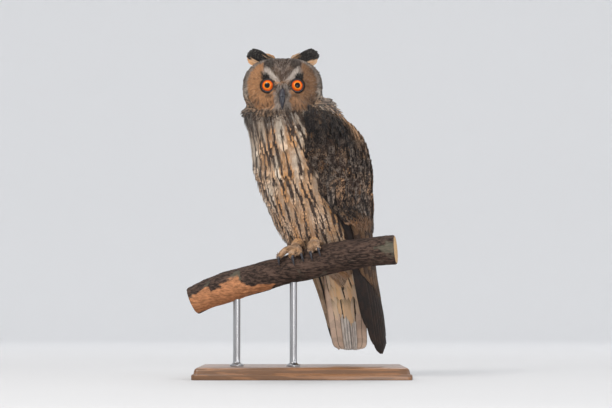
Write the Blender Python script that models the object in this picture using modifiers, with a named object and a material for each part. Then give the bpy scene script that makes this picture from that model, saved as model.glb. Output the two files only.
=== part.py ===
"""A long-eared owl perched on a short cut length of branch, held up by a plain display stand.

Metres, +Z up. The origin is on the floor under the middle of the stand's base. Seen from the front, along +Y,
the owl looks at the viewer while its chest is turned to the viewer's left and its tail hangs behind the branch.
"""

import math

import bmesh
import bpy
import numpy as np
from mathutils import Matrix, Vector

GAP = 0.0003  # between two parts that touch
MERGE = 0.000003  # edges shorter than this are closed up after a cut
SHARP_EDGE = math.radians(38)  # an edge that turns more than this stays sharp

# The stand, and the branch that it holds up
BASE_SIZE = (0.250, 0.180, 0.014)
BASE_ROUNDING = 0.003
ROD_RADIUS = 0.0042
ROD_PLACES = (-0.076, -0.010)
PERCH_PATH = (
    (-0.128, 0.0900),
    (-0.101, 0.1015),
    (-0.050, 0.1170),
    (0.000, 0.1305),
    (0.045, 0.1412),
    (0.080, 0.1462),
    (0.108, 0.1485),
)
PERCH_RADIUS = 0.0174
PERCH_TURN = math.radians(10)
PERCH_AHEAD = 0.006  # how far the branch lies in front of the body's own origin

# Where the owl stands and how it is turned. Its own frame has +X to its left, -Y ahead and +Z up.
GRIP = Vector((-0.0056, -0.024, 0.148))
CHEST_TURN = math.radians(-40)
TO_WORLD = Matrix.Translation(GRIP) @ Matrix.Rotation(CHEST_TURN, 4, "Z")

# Torso and neck, from the vent up into the head: side, back, up, half width, half depth
BODY_STATIONS = (
    (0.000, 0.084, -0.038, 0.006, 0.004),
    (0.000, 0.081, -0.022, 0.021, 0.013),
    (0.000, 0.068, -0.001, 0.035, 0.023),
    (0.000, 0.048, 0.018, 0.043, 0.034),
    (0.000, 0.034, 0.042, 0.050, 0.045),
    (0.000, 0.025, 0.070, 0.057, 0.052),
    (0.000, 0.015, 0.100, 0.060, 0.056),
    (0.000, 0.004, 0.130, 0.059, 0.056),
    (0.000, -0.012, 0.152, 0.052, 0.050),
    (0.000, -0.022, 0.170, 0.042, 0.040),
    (0.000, -0.024, 0.184, 0.031, 0.029),
)
BODY_SQUARENESS = 2.2
NECK_CUT = (0.0, -0.012, 0.132)
# The neck is fuller on the side that the head is turned away from: how far, which way, and at which height
NECK_FULL = 0.0080
NECK_FULL_WAY = Vector((-0.77, -0.64, 0))
NECK_FULL_UP = 0.1610
# How fast that fullness fades below and above its height
NECK_FULL_FADE = (0.0150, 0.0125)

# The head: its own frame has the face on -Y, and it looks straight at the viewer
HEAD_CENTRE = TO_WORLD @ Vector((0.001, -0.0272, 0.1875))
HEAD_HALF_WIDTH = 0.0455
HEAD_TOP = 0.0345
HEAD_BOTTOM = 0.0330
HEAD_FRONT = 0.0350
HEAD_REAR = 0.0400
HEAD_SQUARENESS = 2.5
# Degrees of the head's rings from the middle of the face
HEAD_RINGS = (6, 13, 20, 27, 34, 41, 48, 54, 60, 66, 73, 82, 93, 106, 120, 135, 150, 166)
EYE_SPACING = 0.0156
EYE_RADIUS = 0.0092
EYE_DEPTH = 0.0232
LID_RADIUS = 0.0079
LID_THICKNESS = 0.0012

# The bill in the head's frame, from its root to its tip: ahead and up, with the radii
UPPER_BILL = (
    (-0.030, -0.0040),
    (-0.0385, -0.0080),
    (-0.0435, -0.0140),
    (-0.0450, -0.0200),
    (-0.0440, -0.0250),
    (-0.0420, -0.0290),
)
UPPER_BILL_RADII = (0.0046, 0.0044, 0.0038, 0.0029, 0.0017, 0.0004)
LOWER_BILL = ((-0.028, -0.0135), (-0.0345, -0.0170), (-0.0385, -0.0205), (-0.0398, -0.0240))
LOWER_BILL_RADII = (0.0036, 0.0034, 0.0025, 0.0009)
NOSTRIL_PLACE = (0.0030, -0.0432, -0.0095)
NOSTRIL_RADIUS = 0.0009

# The folded wing: up, then side and back of its front edge, side and back of its rear edge, and its bulge
WING_STATIONS = (
    (0.166, 0.036, -0.030, 0.018, 0.016, 0.008),
    (0.150, 0.048, -0.034, 0.016, 0.044, 0.027),
    (0.132, 0.053, -0.031, 0.015, 0.062, 0.038),
    (0.109, 0.052, -0.027, 0.013, 0.076, 0.040),
    (0.088, 0.055, -0.013, 0.011, 0.084, 0.036),
    (0.069, 0.054, -0.007, 0.010, 0.090, 0.033),
    (0.043, 0.056, 0.020, 0.010, 0.096, 0.026),
    (0.015, 0.049, 0.049, 0.011, 0.102, 0.019),
    (-0.030, 0.042, 0.069, 0.019, 0.110, 0.014),
    (-0.070, 0.041, 0.082, 0.029, 0.118, 0.011),
    (-0.105, 0.041, 0.092, 0.035, 0.125, 0.007),
    (-0.124, 0.041, 0.100, 0.037, 0.128, 0.004),
)
WING_CORE_DEPTH = 0.028
WING_CORE_END = 0.637
WING_CORE_SUNK = 0.0022

# Tiers of wing feathers: count, where along the wing the tier's roots start and its tips end (at the front edge
# and at the rear edge), its span across the wing at the roots and at the tips, half width and layer
WING_TIERS = (
    (6, (0.50, 0.58), (1.00, 0.86), (0.24, 0.80), (0.34, 0.88), 0.0088, 0),
    (6, (0.40, 0.42), (0.75, 0.80), (0.12, 0.90), (0.14, 0.88), 0.0100, 1),
    (6, (0.22, 0.26), (0.56, 0.58), (0.09, 0.86), (0.09, 0.84), 0.0112, 2),
    (5, (0.06, 0.12), (0.38, 0.42), (0.12, 0.84), (0.12, 0.84), 0.0130, 3),
)
LONG_VANE = ((0.0, 0.60), (0.36, 0.90), (0.70, 1.0), (0.92, 0.78), (1.0, 0.28))
SHORT_VANE = ((0.0, 0.60), (0.50, 1.0), (0.86, 0.86), (1.0, 0.30))
VANE_EDGE = 0.0006
VANE_CROWN = 0.00035
VANE_CLEARANCE = 0.00147  # from one vane's middle layer to that of the next one of its tier
LAYER_STEP = 0.0005
# The left wing's shoulder is pressed closer to the body: by how much, how far up and over what height
LEFT_WING_PRESSED = (0.0064, 0.146, 0.024)
# The right wing's tip lies further back, behind the tail, and the breast covers more of its front edge
RIGHT_WING_TUCK = Vector((-0.006, 0.017, 0.005))
RIGHT_WING_COVERED = 0.016

# The tail, from inside the rump to its tip: back, up, half width, half depth
TAIL_STATIONS = (
    (0.068, 0.016, 0.020, 0.0130),
    (0.076, 0.000, 0.026, 0.0130),
    (0.086, -0.030, 0.0295, 0.0105),
    (0.093, -0.057, 0.0290, 0.0070),
    (0.098, -0.090, 0.0265, 0.0040),
    (0.101, -0.110, 0.0240, 0.0022),
    (0.1015, -0.1165, 0.0150, 0.0012),
)

# Tail feathers of each side, from the outermost to the middle one: place across, tip along the tail, layer
TAIL_FEATHERS = (
    (0.74, 0.965, 0),
    (0.60, 0.985, 1),
    (0.46, 1.0, 2),
    (0.32, 1.0, 3),
    (0.20, 1.0, 4),
    (0.09, 0.99, 5),
)
TAIL_FEATHER_HALF_WIDTH = 0.0084
TAIL_LAYER_STEP = 0.0006
TAIL_CORE_END = 0.46
UNDERTAIL_COVERTS = ((-0.5, 0.62), (-0.22, 0.74), (0.05, 0.80), (0.30, 0.72), (0.54, 0.60))
UPPERTAIL_COVERTS = ((-0.5, 0.42), (0.0, 0.50), (0.5, 0.42))
TAIL_COVERT_HALF_WIDTH = 0.0086

# Ear tuft feathers: rise of the tip over the middle feather's, its length and how far in front it lies
TUFT_FEATHERS = (
    (0.0065, 0.0285, 0.0022),
    (0.0030, 0.0345, 0.0011),
    (0.0000, 0.0370, 0.0000),
    (-0.0035, 0.0340, -0.0011),
    (-0.0065, 0.0290, -0.0022),
)
TUFT_ROOT = (0.0125, 0.004, 0.0272)
TUFT_WAY = (0.880, 0.10, 0.470)
TUFT_HALF_WIDTH = 0.0040

# The feet, by their places along the branch from the middle of the grip
FEET = {"left": 0.0245, "right": 0.0050}
TOE_RADIUS = 0.0044
CLAW_RADIUS = 0.0021
ANKLE_HEIGHT = 0.0065
LEG_RADII = (0.0045, 0.0066, 0.0078, 0.0095, 0.0115)
# Toe ends of each foot: name, way along the branch, angle over it (front is positive), claw end's angle
TOES = {
    "left": (
        ("inner", -0.003, 54, 92),
        ("middle", 0.006, 50, 86),
        ("outer", 0.013, -34, -70),
        ("hind", 0.000, -36, -74),
    ),
    "right": (
        ("inner", 0.006, 54, 90),
        ("middle", -0.004, 56, 94),
        ("outer", -0.019, 44, 78),
        ("hind", -0.002, -36, -74),
    ),
}

COLOURS = {
    "plumage": ((0.52, 0.36, 0.21, 1), 0.85),
    "wing": ((0.16, 0.12, 0.09, 1), 0.8),
    "tail": ((0.55, 0.42, 0.28, 1), 0.8),
    "eye": ((0.85, 0.25, 0.02, 1), 0.1),
    "horn": ((0.03, 0.03, 0.035, 1), 0.35),
    "bark": ((0.20, 0.13, 0.09, 1), 0.8),
    "stand": ((0.03, 0.03, 0.03, 1), 0.5),
}


def clear_scene():
    for old in list(bpy.data.objects):
        bpy.data.objects.remove(old)


def material(name):
    """The Principled material of that name, made once."""
    found = bpy.data.materials.get(name)
    if found:
        return found
    colour, roughness = COLOURS[name]
    made = bpy.data.materials.new(name)
    made.use_nodes = True
    shader = made.node_tree.nodes["Principled BSDF"]
    shader.inputs["Base Color"].default_value = colour
    shader.inputs["Roughness"].default_value = roughness
    shader.inputs["Metallic"].default_value = 0.0
    made.diffuse_color = colour
    return made


def object_from(name, points, faces, finish, place=Matrix.Identity(4)):
    """A mesh object in the owl's collection, with its faces pointing out."""
    mesh = bpy.data.meshes.new(name)
    mesh.from_pydata([tuple(p) for p in points], [], faces)
    shape = bmesh.new()
    shape.from_mesh(mesh)
    bmesh.ops.recalc_face_normals(shape, faces=shape.faces)
    shape.to_mesh(mesh)
    shape.free()
    made = bpy.data.objects.new(name, mesh)
    made.data.materials.append(material(finish))
    made.matrix_world = place
    OWL.objects.link(made)
    return made


def smooth_path(stations, count):
    """Rows of numbers on a Catmull-Rom curve through the stations, count of them, evenly spread."""
    rows = np.array(stations, float)
    ends = np.vstack([2 * rows[0] - rows[1], rows, 2 * rows[-1] - rows[-2]])
    found = []
    for place in np.linspace(0, len(rows) - 1, count):
        i = min(int(place), len(rows) - 2)
        f = place - i
        a, b, c, d = ends[i : i + 4]
        bend = (2 * a - 5 * b + 4 * c - d) * f**2 + (3 * b - a - 3 * c + d) * f**3
        found.append(0.5 * (2 * b + (c - a) * f + bend))
    return np.array(found)


def loft(rings):
    """Points and faces of a closed skin over rings of equal count, with a point in the middle of each end."""
    rings = [list(ring) for ring in rings]
    sides = len(rings[0])
    points = [Vector(p) for ring in rings for p in ring]
    faces = []
    for i in range(len(rings) - 1):
        for j in range(sides):
            k = (j + 1) % sides
            faces.append((i * sides + j, i * sides + k, (i + 1) * sides + k, (i + 1) * sides + j))
    for row in (0, len(rings) - 1):
        middle = len(points)
        ends = points[row * sides : row * sides + sides]
        points.append(sum(ends, Vector()) / sides)
        faces.extend((row * sides + j, row * sides + (j + 1) % sides, middle) for j in range(sides))
    return points, faces


def superellipse(angle, power):
    """The point of a rounded square of half size 1 at that angle."""
    c, s = math.cos(angle), math.sin(angle)
    grown = (abs(c) ** power + abs(s) ** power) ** (-1 / power)
    return c * grown, s * grown


def bake(made):
    """Applies the object's modifiers."""
    bpy.context.view_layer.update()
    graph = bpy.context.evaluated_depsgraph_get()
    mesh = bpy.data.meshes.new_from_object(made.evaluated_get(graph))
    made.modifiers.clear()
    made.data = mesh


def as_mesh(curve):
    """The closed mesh object of a curve, whose caps are welded to its sides. The curve is removed."""
    bpy.context.view_layer.update()
    graph = bpy.context.evaluated_depsgraph_get()
    mesh = bpy.data.meshes.new_from_object(curve.evaluated_get(graph))
    shape = bmesh.new()
    shape.from_mesh(mesh)
    bmesh.ops.remove_doubles(shape, verts=shape.verts, dist=0.00001)
    bmesh.ops.triangulate(shape, faces=shape.faces)
    bmesh.ops.recalc_face_normals(shape, faces=shape.faces)
    shape.to_mesh(mesh)
    shape.free()
    name, place = curve.name, curve.matrix_world.copy()
    bpy.data.objects.remove(curve)
    made = bpy.data.objects.new(name, mesh)
    made.matrix_world = place
    OWL.objects.link(made)
    return made


def tube(name, path, radii, finish, sides=8, place=Matrix.Identity(4)):
    """A closed tube along the path, of that radius at each point."""
    data = bpy.data.curves.new(name, "CURVE")
    data.dimensions = "3D"
    data.bevel_depth = 1.0
    data.bevel_resolution = sides // 2 - 2
    data.use_fill_caps = True
    spline = data.splines.new("POLY")
    spline.points.add(len(path) - 1)
    for point, at, radius in zip(spline.points, path, radii):
        point.co = (*at, 1)
        point.radius = radius
    made = bpy.data.objects.new(name, data)
    made.data.materials.append(material(finish))
    made.matrix_world = place
    OWL.objects.link(made)
    return as_mesh(made)


def boolean(made, others, operation, solver="MANIFOLD"):
    """Joins or cuts the object with closed objects, which are then removed."""
    group = bpy.data.collections.new(made.name + "_tools")
    for other in others:
        group.objects.link(other)
    step = made.modifiers.new(operation.lower(), "BOOLEAN")
    step.operation = operation
    step.operand_type = "COLLECTION"
    step.collection = group
    step.solver = solver
    bake(made)
    shape = bmesh.new()
    shape.from_mesh(made.data)
    bmesh.ops.dissolve_degenerate(shape, edges=shape.edges, dist=MERGE)
    shape.to_mesh(made.data)
    shape.free()
    for other in others:
        bpy.data.objects.remove(other)
    bpy.data.collections.remove(group)


def keep_largest(made):
    """Leaves only the largest closed surface of the object."""
    shape = bmesh.new()
    shape.from_mesh(made.data)
    left, bodies = set(shape.faces), []
    while left:
        body, edge = set(), {left.pop()}
        while edge:
            body |= edge
            edge = {g for f in edge for e in f.edges for g in e.link_faces} - body
        left -= body
        bodies.append(body)
    bodies.sort(key=lambda body: sum(f.calc_area() for f in body))
    bmesh.ops.delete(shape, geom=[f for body in bodies[:-1] for f in body], context="FACES")
    bmesh.ops.triangulate(shape, faces=shape.faces)
    shape.to_mesh(made.data)
    shape.free()


def swollen(made, by=GAP):
    """A copy of the object with each point moved out by the gap, to cut a neighbour with."""
    copy = bpy.data.objects.new(made.name + "_cutter", made.data.copy())
    copy.matrix_world = made.matrix_world
    OWL.objects.link(copy)
    shape = bmesh.new()
    shape.from_mesh(copy.data)
    shape.normal_update()
    for v in shape.verts:
        v.co += v.normal * by
    shape.to_mesh(copy.data)
    shape.free()
    return copy


def carve(made, *neighbours):
    """Cuts the object back so that it meets each neighbour with the gap between them."""
    boolean(made, [swollen(n) for n in neighbours], "DIFFERENCE")
    keep_largest(made)


def build_stand(perch):
    """The flat base and the two rods under the branch."""
    shape = bmesh.new()
    bmesh.ops.create_cube(shape, size=1, matrix=Matrix.Diagonal((*BASE_SIZE, 1)))
    mesh = bpy.data.meshes.new("stand_base")
    shape.to_mesh(mesh)
    shape.free()
    base = bpy.data.objects.new("stand_base", mesh)
    base.location = (0, 0, BASE_SIZE[2] / 2)
    mesh.materials.append(material("stand"))
    rounding = base.modifiers.new("rounding", "BEVEL")
    rounding.width = BASE_ROUNDING
    rounding.segments = 2
    OWL.objects.link(base)
    for name, x in zip(("stand_rod_left", "stand_rod_right"), ROD_PLACES):
        place = perch_point(x)
        foot = Vector((place.x, place.y, BASE_SIZE[2] + GAP))
        rod = tube(name, [foot, place], [ROD_RADIUS] * 2, "stand", sides=12)
        carve(rod, perch)


def perch_point(x):
    """The middle of the branch at that place across the view."""
    rows = smooth_path(PERCH_PATH, 61)
    z = float(np.interp(x, rows[:, 0], rows[:, 1]))
    return Vector((x, GRIP.y - PERCH_AHEAD - (x - GRIP.x) * math.tan(PERCH_TURN), z))


def build_perch():
    """The cut length of branch: a slightly wavy tube with flat ends."""
    xs = np.linspace(PERCH_PATH[0][0], PERCH_PATH[-1][0], 22)
    path = [perch_point(x) for x in xs]
    radii = [PERCH_RADIUS + 0.0006 * math.sin(55 * x) + 0.0004 * math.sin(131 * x + 1) for x in xs]
    return tube("perch", path, radii, "bark", sides=16)


def spine_frames(count):
    """Middle, side axis, depth axis and half sizes of evenly spread sections of the torso and neck."""
    rows = smooth_path(BODY_STATIONS, count)
    middles = [Vector(row[:3]) for row in rows]
    frames = []
    for i, row in enumerate(rows):
        along = (middles[min(i + 1, count - 1)] - middles[max(i - 1, 0)]).normalized()
        side = (Vector((1, 0, 0)) - along * along.x).normalized()
        frames.append((middles[i], side, along.cross(side).normalized(), row[3], row[4]))
    return frames


def build_body():
    """The torso and the neck, lofted as one and parted by a thin cut."""
    rings = []
    for middle, side, depth, half_width, half_depth in spine_frames(23):
        ring = []
        for k in range(24):
            c, s = superellipse(2 * math.pi * k / 24, BODY_SQUARENESS)
            point = middle + side * half_width * c + depth * half_depth * s
            facing = max(0.0, c * NECK_FULL_WAY.x + s * NECK_FULL_WAY.y) ** 2
            over = point.z - NECK_FULL_UP
            share = math.exp(-((over / NECK_FULL_FADE[over > 0]) ** 2))
            ring.append(point + NECK_FULL_WAY * NECK_FULL * facing * share)
        rings.append(ring)
    points, faces = loft(rings)
    parts = []
    up = Vector((0, -0.45, 0.89)).normalized()
    for name, way in (("torso", 1), ("neck", -1)):
        part = object_from(name, points, faces, "plumage", TO_WORLD)
        shape = bmesh.new()
        shape.from_mesh(part.data)
        cut = bmesh.ops.bisect_plane(
            shape,
            geom=[*shape.verts, *shape.edges, *shape.faces],
            plane_co=Vector(NECK_CUT) - up * way * GAP / 2,
            plane_no=up * way,
            clear_outer=True,
        )
        rim = [e for e in cut["geom_cut"] if isinstance(e, bmesh.types.BMEdge)]
        bmesh.ops.edgeloop_fill(shape, edges=rim)
        bmesh.ops.triangulate(shape, faces=shape.faces)
        bmesh.ops.recalc_face_normals(shape, faces=shape.faces)
        shape.to_mesh(part.data)
        shape.free()
        parts.append(part)
    return parts


def bump(x, z, at_x, at_z, spread_x, spread_z):
    """A smooth hill of height 1 on the face."""
    return math.exp(-(((x - at_x) / spread_x) ** 2) - ((z - at_z) / spread_z) ** 2)


def head_point(polar, turn):
    """A point of the head's surface, by its angle from the face's middle and its turn about it."""
    way = Vector((math.sin(polar) * math.cos(turn), -math.cos(polar), math.sin(polar) * math.sin(turn)))
    half = (
        HEAD_HALF_WIDTH,
        HEAD_FRONT if way.y < 0 else HEAD_REAR,
        HEAD_TOP if way.z > 0 else HEAD_BOTTOM,
    )
    reach = sum((abs(w) / h) ** HEAD_SQUARENESS for w, h in zip(way, half)) ** (-1 / HEAD_SQUARENESS)
    at = way * reach
    if way.y < 0:
        dish = sum(bump(at.x, at.z, side * 0.020, -0.002, 0.013, 0.017) for side in (-1, 1))
        bridge = bump(at.x, at.z, 0, -0.006, 0.0055, 0.020)
        rim = math.exp(-(((math.hypot(at.x / 0.039, (at.z + 0.001) / 0.029) - 1) / 0.10) ** 2))
        at.y += 0.0050 * dish - 0.0035 * bridge - 0.0016 * rim
    return at


def build_head():
    """The head with its facial disc, rims of the eyelids and eye sockets, and the eyes in them."""
    polars = [math.radians(a) for a in HEAD_RINGS]
    rings = [[head_point(polar, 2 * math.pi * k / 32) for k in range(32)] for polar in polars]
    place = Matrix.Translation(HEAD_CENTRE)
    head = object_from("head", *loft(rings), "plumage", place)
    lids, eyes = [], []
    for name, side in (("left", 1), ("right", -1)):
        middle = Vector((side * EYE_SPACING, -EYE_DEPTH, 0))
        look = Vector((side * 0.20, -1, 0)).normalized()
        turned = look.to_track_quat("Z", "Y").to_matrix().to_4x4()
        lid_at = middle + look * math.sqrt(EYE_RADIUS**2 - LID_RADIUS**2)
        bpy.ops.mesh.primitive_torus_add(
            major_radius=LID_RADIUS, minor_radius=LID_THICKNESS, major_segments=20, minor_segments=8
        )
        lid = bpy.context.object
        lid.matrix_world = place @ Matrix.Translation(lid_at) @ turned
        lids.append(lid)
        bpy.ops.mesh.primitive_uv_sphere_add(segments=20, ring_count=12, radius=EYE_RADIUS)
        eye = bpy.context.object
        eye.name = "eye_" + name
        eye.data.materials.append(material("eye"))
        eye.matrix_world = place @ Matrix.Translation(middle) @ turned
        for collection in eye.users_collection:
            collection.objects.unlink(eye)
        OWL.objects.link(eye)
        eyes.append(eye)
    boolean(head, lids, "UNION")
    carve(head, *eyes)
    return head, eyes


def build_bill(head):
    """The hooked upper bill with its nostrils, and the lower bill under it."""
    place = Matrix.Translation(HEAD_CENTRE)
    upper_path = [(0, y, z) for y, z in UPPER_BILL]
    upper = tube("bill_upper", upper_path, UPPER_BILL_RADII, "horn", 10, place)
    for side in (-1, 1):
        bpy.ops.mesh.primitive_uv_sphere_add(segments=8, ring_count=6, radius=NOSTRIL_RADIUS)
        nostril = bpy.context.object
        nostril.matrix_world = place @ Matrix.Translation((side * NOSTRIL_PLACE[0], *NOSTRIL_PLACE[1:]))
        boolean(upper, [nostril], "DIFFERENCE")
    carve(upper, head)
    lower_path = [(0, y, z) for y, z in LOWER_BILL]
    lower = tube("bill_lower", lower_path, LOWER_BILL_RADII, "horn", 8, place)
    carve(lower, head, upper)
    return upper, lower


def wing_row(s):
    """The wing's numbers at a place along it, 0 at the shoulder and 1 at the tip."""
    place = s * (len(WING_ROWS) - 1)
    i = min(int(place), len(WING_ROWS) - 2)
    return WING_ROWS[i] + (WING_ROWS[i + 1] - WING_ROWS[i]) * (place - i)


def wing_point(side, s, t, lift=0.0):
    """A point over the folded wing: s along it, t from its front edge to its rear one, lifted off it."""
    up, front_x, front_y, rear_x, rear_y, bulge = wing_row(s)
    if side > 0:
        pressed, height, spread = LEFT_WING_PRESSED
        bulge -= pressed * math.exp(-(((up - height) / spread) ** 2))
    else:
        front_y += RIGHT_WING_COVERED * max(0.0, 1 - s / 0.6)
    front, rear = Vector((front_x, front_y, up)), Vector((rear_x, rear_y, up))
    chord = rear - front
    out = Vector((chord.y, -chord.x, 0)).normalized()
    at = front + chord * t + out * (bulge * 4 * t * (1 - t) + lift)
    if side < 0:
        at += RIGHT_WING_TUCK * max(0.0, (s - 0.5) / 0.5)
    return Vector((side * at.x, at.y, at.z))


def vane(place, finish, steps):
    """One closed feather vane, whose place(along, across, lift) gives the points over what it grows on."""
    rings = []
    for along, width in steps:
        crown = VANE_CROWN * (1.2 - along)
        outer = [place(along, side * width, (1 - side * side) * crown) for side in (-1, 0, 1)]
        inner = [place(along, side * width, -VANE_EDGE - (1 - side * side) * crown) for side in (1, 0, -1)]
        rings.append(outer + inner)
    return object_from("vane", *loft(rings), finish, TO_WORLD)


def wing_vane(side, root, tip, half_width, layer, share):
    """A wing feather between two places along and across the wing; share is its tier's step across it."""

    def place(along, across, lift):
        s = min(root[0] + (tip[0] - root[0]) * along, 1.0)
        row = wing_row(s)
        chord = math.hypot(row[3] - row[1], row[4] - row[2])
        t = root[1] + (tip[1] - root[1]) * along + across * half_width / chord
        tilt = VANE_CLEARANCE * half_width / (chord * share)
        sunk = -(WING_CORE_SUNK + 0.0030) * (1 - along) ** 2 + LAYER_STEP * layer * along
        return wing_point(side, s, t, lift + sunk - across * tilt)

    return vane(place, "wing", LONG_VANE if layer < 2 else SHORT_VANE)


def build_wing(name, side, *neighbours):
    """A folded wing: the arm under its coverts, and tiers of overlapping feathers out to the tip."""
    rings = []
    for s in np.linspace(0, WING_CORE_END, 13):
        thin = WING_CORE_DEPTH * (1 - s / WING_CORE_END) + 0.0015
        top = -WING_CORE_SUNK - 0.0017 * (s / WING_CORE_END) ** 3

        def core_point(t, depth, s=s, top=top):
            """A point of the arm, whose end is rounded."""
            return wing_point(side, s * (1 - 0.09 * s * (2 * t - 1.07) ** 2), t, top - depth)

        outer = [core_point(t, 0) for t in np.linspace(0.02, 0.98, 8)]
        inner = [core_point(t, thin * 4 * t * (1 - t) + 0.001) for t in np.linspace(0.90, 0.10, 6)]
        rings.append(outer + inner)
    wing = object_from(name, *loft(rings), "wing", TO_WORLD)
    vanes = []
    for count, starts, ends, roots, tips, half_width, layer in WING_TIERS:
        for i in range(count):
            share = i / (count - 1)
            wave = 0.008 * math.sin(2.4 * i + layer)
            root = (starts[0] + (starts[1] - starts[0]) * share, roots[0] + (roots[1] - roots[0]) * share)
            tip = (ends[0] + (ends[1] - ends[0]) * share, tips[0] + (tips[1] - tips[0]) * share)
            tip = (tip[0] + wave * (share > 0), tip[1])
            step = (tips[1] - tips[0]) / (count - 1)
            narrowed = half_width * (1 - 0.35 * (layer == 0) * (1 - share))
            vanes.append(wing_vane(side, root, tip, narrowed, layer, step))
    boolean(wing, vanes, "UNION")
    keep_largest(wing)
    carve(wing, *neighbours)
    return wing


def tail_point(along, across, lift):
    """A point of the tail: across it from -1 to 1, and lifted from its middle layer towards the back."""
    place = min(along, 1.0) * (len(TAIL_ROWS) - 1)
    i = min(int(place), len(TAIL_ROWS) - 2)
    row = TAIL_ROWS[i] + (TAIL_ROWS[i + 1] - TAIL_ROWS[i]) * (place - i)
    way = TAIL_ROWS[i + 1] - TAIL_ROWS[i]
    back = Vector((0, -way[1], way[0])).normalized()
    return Vector((row[2] * across, row[0], row[1])) + back * (lift - 0.0016 * across**2)


def tail_vane(across, root, tip, half_width, height, turned):
    """A tail feather; turned is 1 where its outer face looks back, and -1 where it looks ahead."""

    def place(along, side, lift):
        s = root + (tip - root) * along
        at = across * (0.55 + 0.45 * min(1.0, s * 1.6)) + side * half_width / 0.0265
        return tail_point(s, at, height * min(1.0, s * 2.2) + turned * lift)

    return vane(place, "tail", LONG_VANE if tip > 0.9 else SHORT_VANE)


def build_tail(torso):
    """The closed tail: twelve feathers laid over one another, with the coverts over their roots."""
    rings = []
    for along in np.linspace(0, TAIL_CORE_END, 7):
        depth = 0.0125 * (1 - (along / TAIL_CORE_END) ** 2) + 0.0016
        ring = []
        for k in range(12):
            angle = 2 * math.pi * k / 12
            ring.append(tail_point(along, 0.86 * math.cos(angle), depth * math.sin(angle)))
        rings.append(ring)
    tail = object_from("tail", *loft(rings), "tail", TO_WORLD)
    vanes = []
    for across, tip, layer in TAIL_FEATHERS:
        for side in (-1, 1):
            height = TAIL_LAYER_STEP * (layer - 2.5) + 0.0002 * side
            vanes.append(tail_vane(side * across, 0.10, tip, TAIL_FEATHER_HALF_WIDTH, height, 1))
    for across, tip in UNDERTAIL_COVERTS:
        height = -0.0040 - 0.002 * (1 - abs(across))
        vanes.append(tail_vane(across, 0.08, tip, TAIL_COVERT_HALF_WIDTH, height, -1))
    for across, tip in UPPERTAIL_COVERTS:
        vanes.append(tail_vane(across, 0.05, tip, TAIL_COVERT_HALF_WIDTH, 0.0042, 1))
    boolean(tail, vanes, "UNION")
    keep_largest(tail)
    carve(tail, torso)
    return tail


def build_tufts(head):
    """The two ear tufts, feather by feather from a short root in the crown."""
    place = Matrix.Translation(HEAD_CENTRE)
    for name, side in (("left", 1), ("right", -1)):
        root = Vector(TUFT_ROOT)
        way = Vector(TUFT_WAY).normalized()
        up = Vector((-way.z, 0, way.x)).normalized()
        mirror = Matrix.Diagonal((side, 1, 1, 1))
        path = [mirror @ (root + way * d) for d in (-0.003, 0.003, 0.009, 0.015)]
        tuft = tube("ear_tuft_" + name, path, [0.0042, 0.0052, 0.0046, 0.0012], "plumage", 8, place)
        vanes = []
        for rise, length, ahead in TUFT_FEATHERS:

            def over(along, across, lift, rise=rise, length=length, ahead=ahead):
                at = root + way * length * along
                at += up * (rise * (0.25 + 0.75 * along) + across * TUFT_HALF_WIDTH)
                at.y -= ahead * (0.7 + 0.3 * along) + lift + 0.003 * along**2
                return TO_WORLD.inverted() @ place @ mirror @ at

            vanes.append(vane(over, "plumage", LONG_VANE))
        boolean(tuft, vanes, "UNION")
        keep_largest(tuft)
        carve(tuft, head)


def perch_frame(shift):
    """Middle, along, up and front axes of the branch at that way along it from the grip."""
    x = GRIP.x + shift
    middle = perch_point(x)
    along = (perch_point(x + 0.004) - perch_point(x - 0.004)).normalized()
    up = (Vector((0, 0, 1)) - along * along.z).normalized()
    return middle, along, up, up.cross(along).normalized() * -1


def over_perch(shift, angle, height):
    """A point round the branch: shift along it, angle from its top towards the front, height off it."""
    middle, _, up, front = perch_frame(shift)
    turn = math.radians(angle)
    return middle + (up * math.cos(turn) + front * math.sin(turn)) * (PERCH_RADIUS + height)


def build_foot(name, side, perch):
    """The feathered leg and its four toes gripping the branch, as one, and the claws."""
    place = FEET[name]
    toes, claws = [], []
    for toe_name, end, angle, claw_angle in TOES[name]:
        way = math.copysign(1, angle)
        path, radii = [], []
        for q in (0, 0.25, 0.5, 0.75, 1):
            height = 0.0045 + 0.002 * math.sin(math.pi * q)
            path.append(over_perch(place + end * q, angle * q**0.9, height))
            radii.append(TOE_RADIUS * (1.1 - 0.25 * q))
        toes.append(tube(f"toe_{toe_name}_{name}", path, radii, "plumage"))
        path, radii = [], []
        for q in (0, 0.3, 0.6, 0.85, 1):
            turn = angle + (claw_angle - angle) * q - way * 6
            path.append(over_perch(place + end * (1 + 0.1 * q), turn, 0.0058 - 0.0042 * q**2))
            radii.append(CLAW_RADIUS * (1 - 0.9 * q**1.5))
        claws.append(tube(f"claw_{toe_name}_{name}", path, radii, "horn"))
    foot = toes[0]
    foot.name = "foot_" + name
    ankle = over_perch(place, 0, ANKLE_HEIGHT)
    hip = TO_WORLD @ Vector((side * 0.016, 0.042, 0.034))
    path = [ankle.lerp(hip, q) for q in (-0.08, 0.1, 0.3, 0.6, 1)]
    leg = tube("leg", path, LEG_RADII, "plumage", 12)
    boolean(foot, [*toes[1:], leg], "UNION")
    carve(foot, perch)
    for claw in claws:
        carve(claw, perch, foot)
    return foot, claws


clear_scene()
OWL = bpy.data.collections.new("long_eared_owl")
bpy.context.scene.collection.children.link(OWL)
WING_ROWS = smooth_path(WING_STATIONS, 61)
TAIL_ROWS = smooth_path(TAIL_STATIONS, 31)

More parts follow.
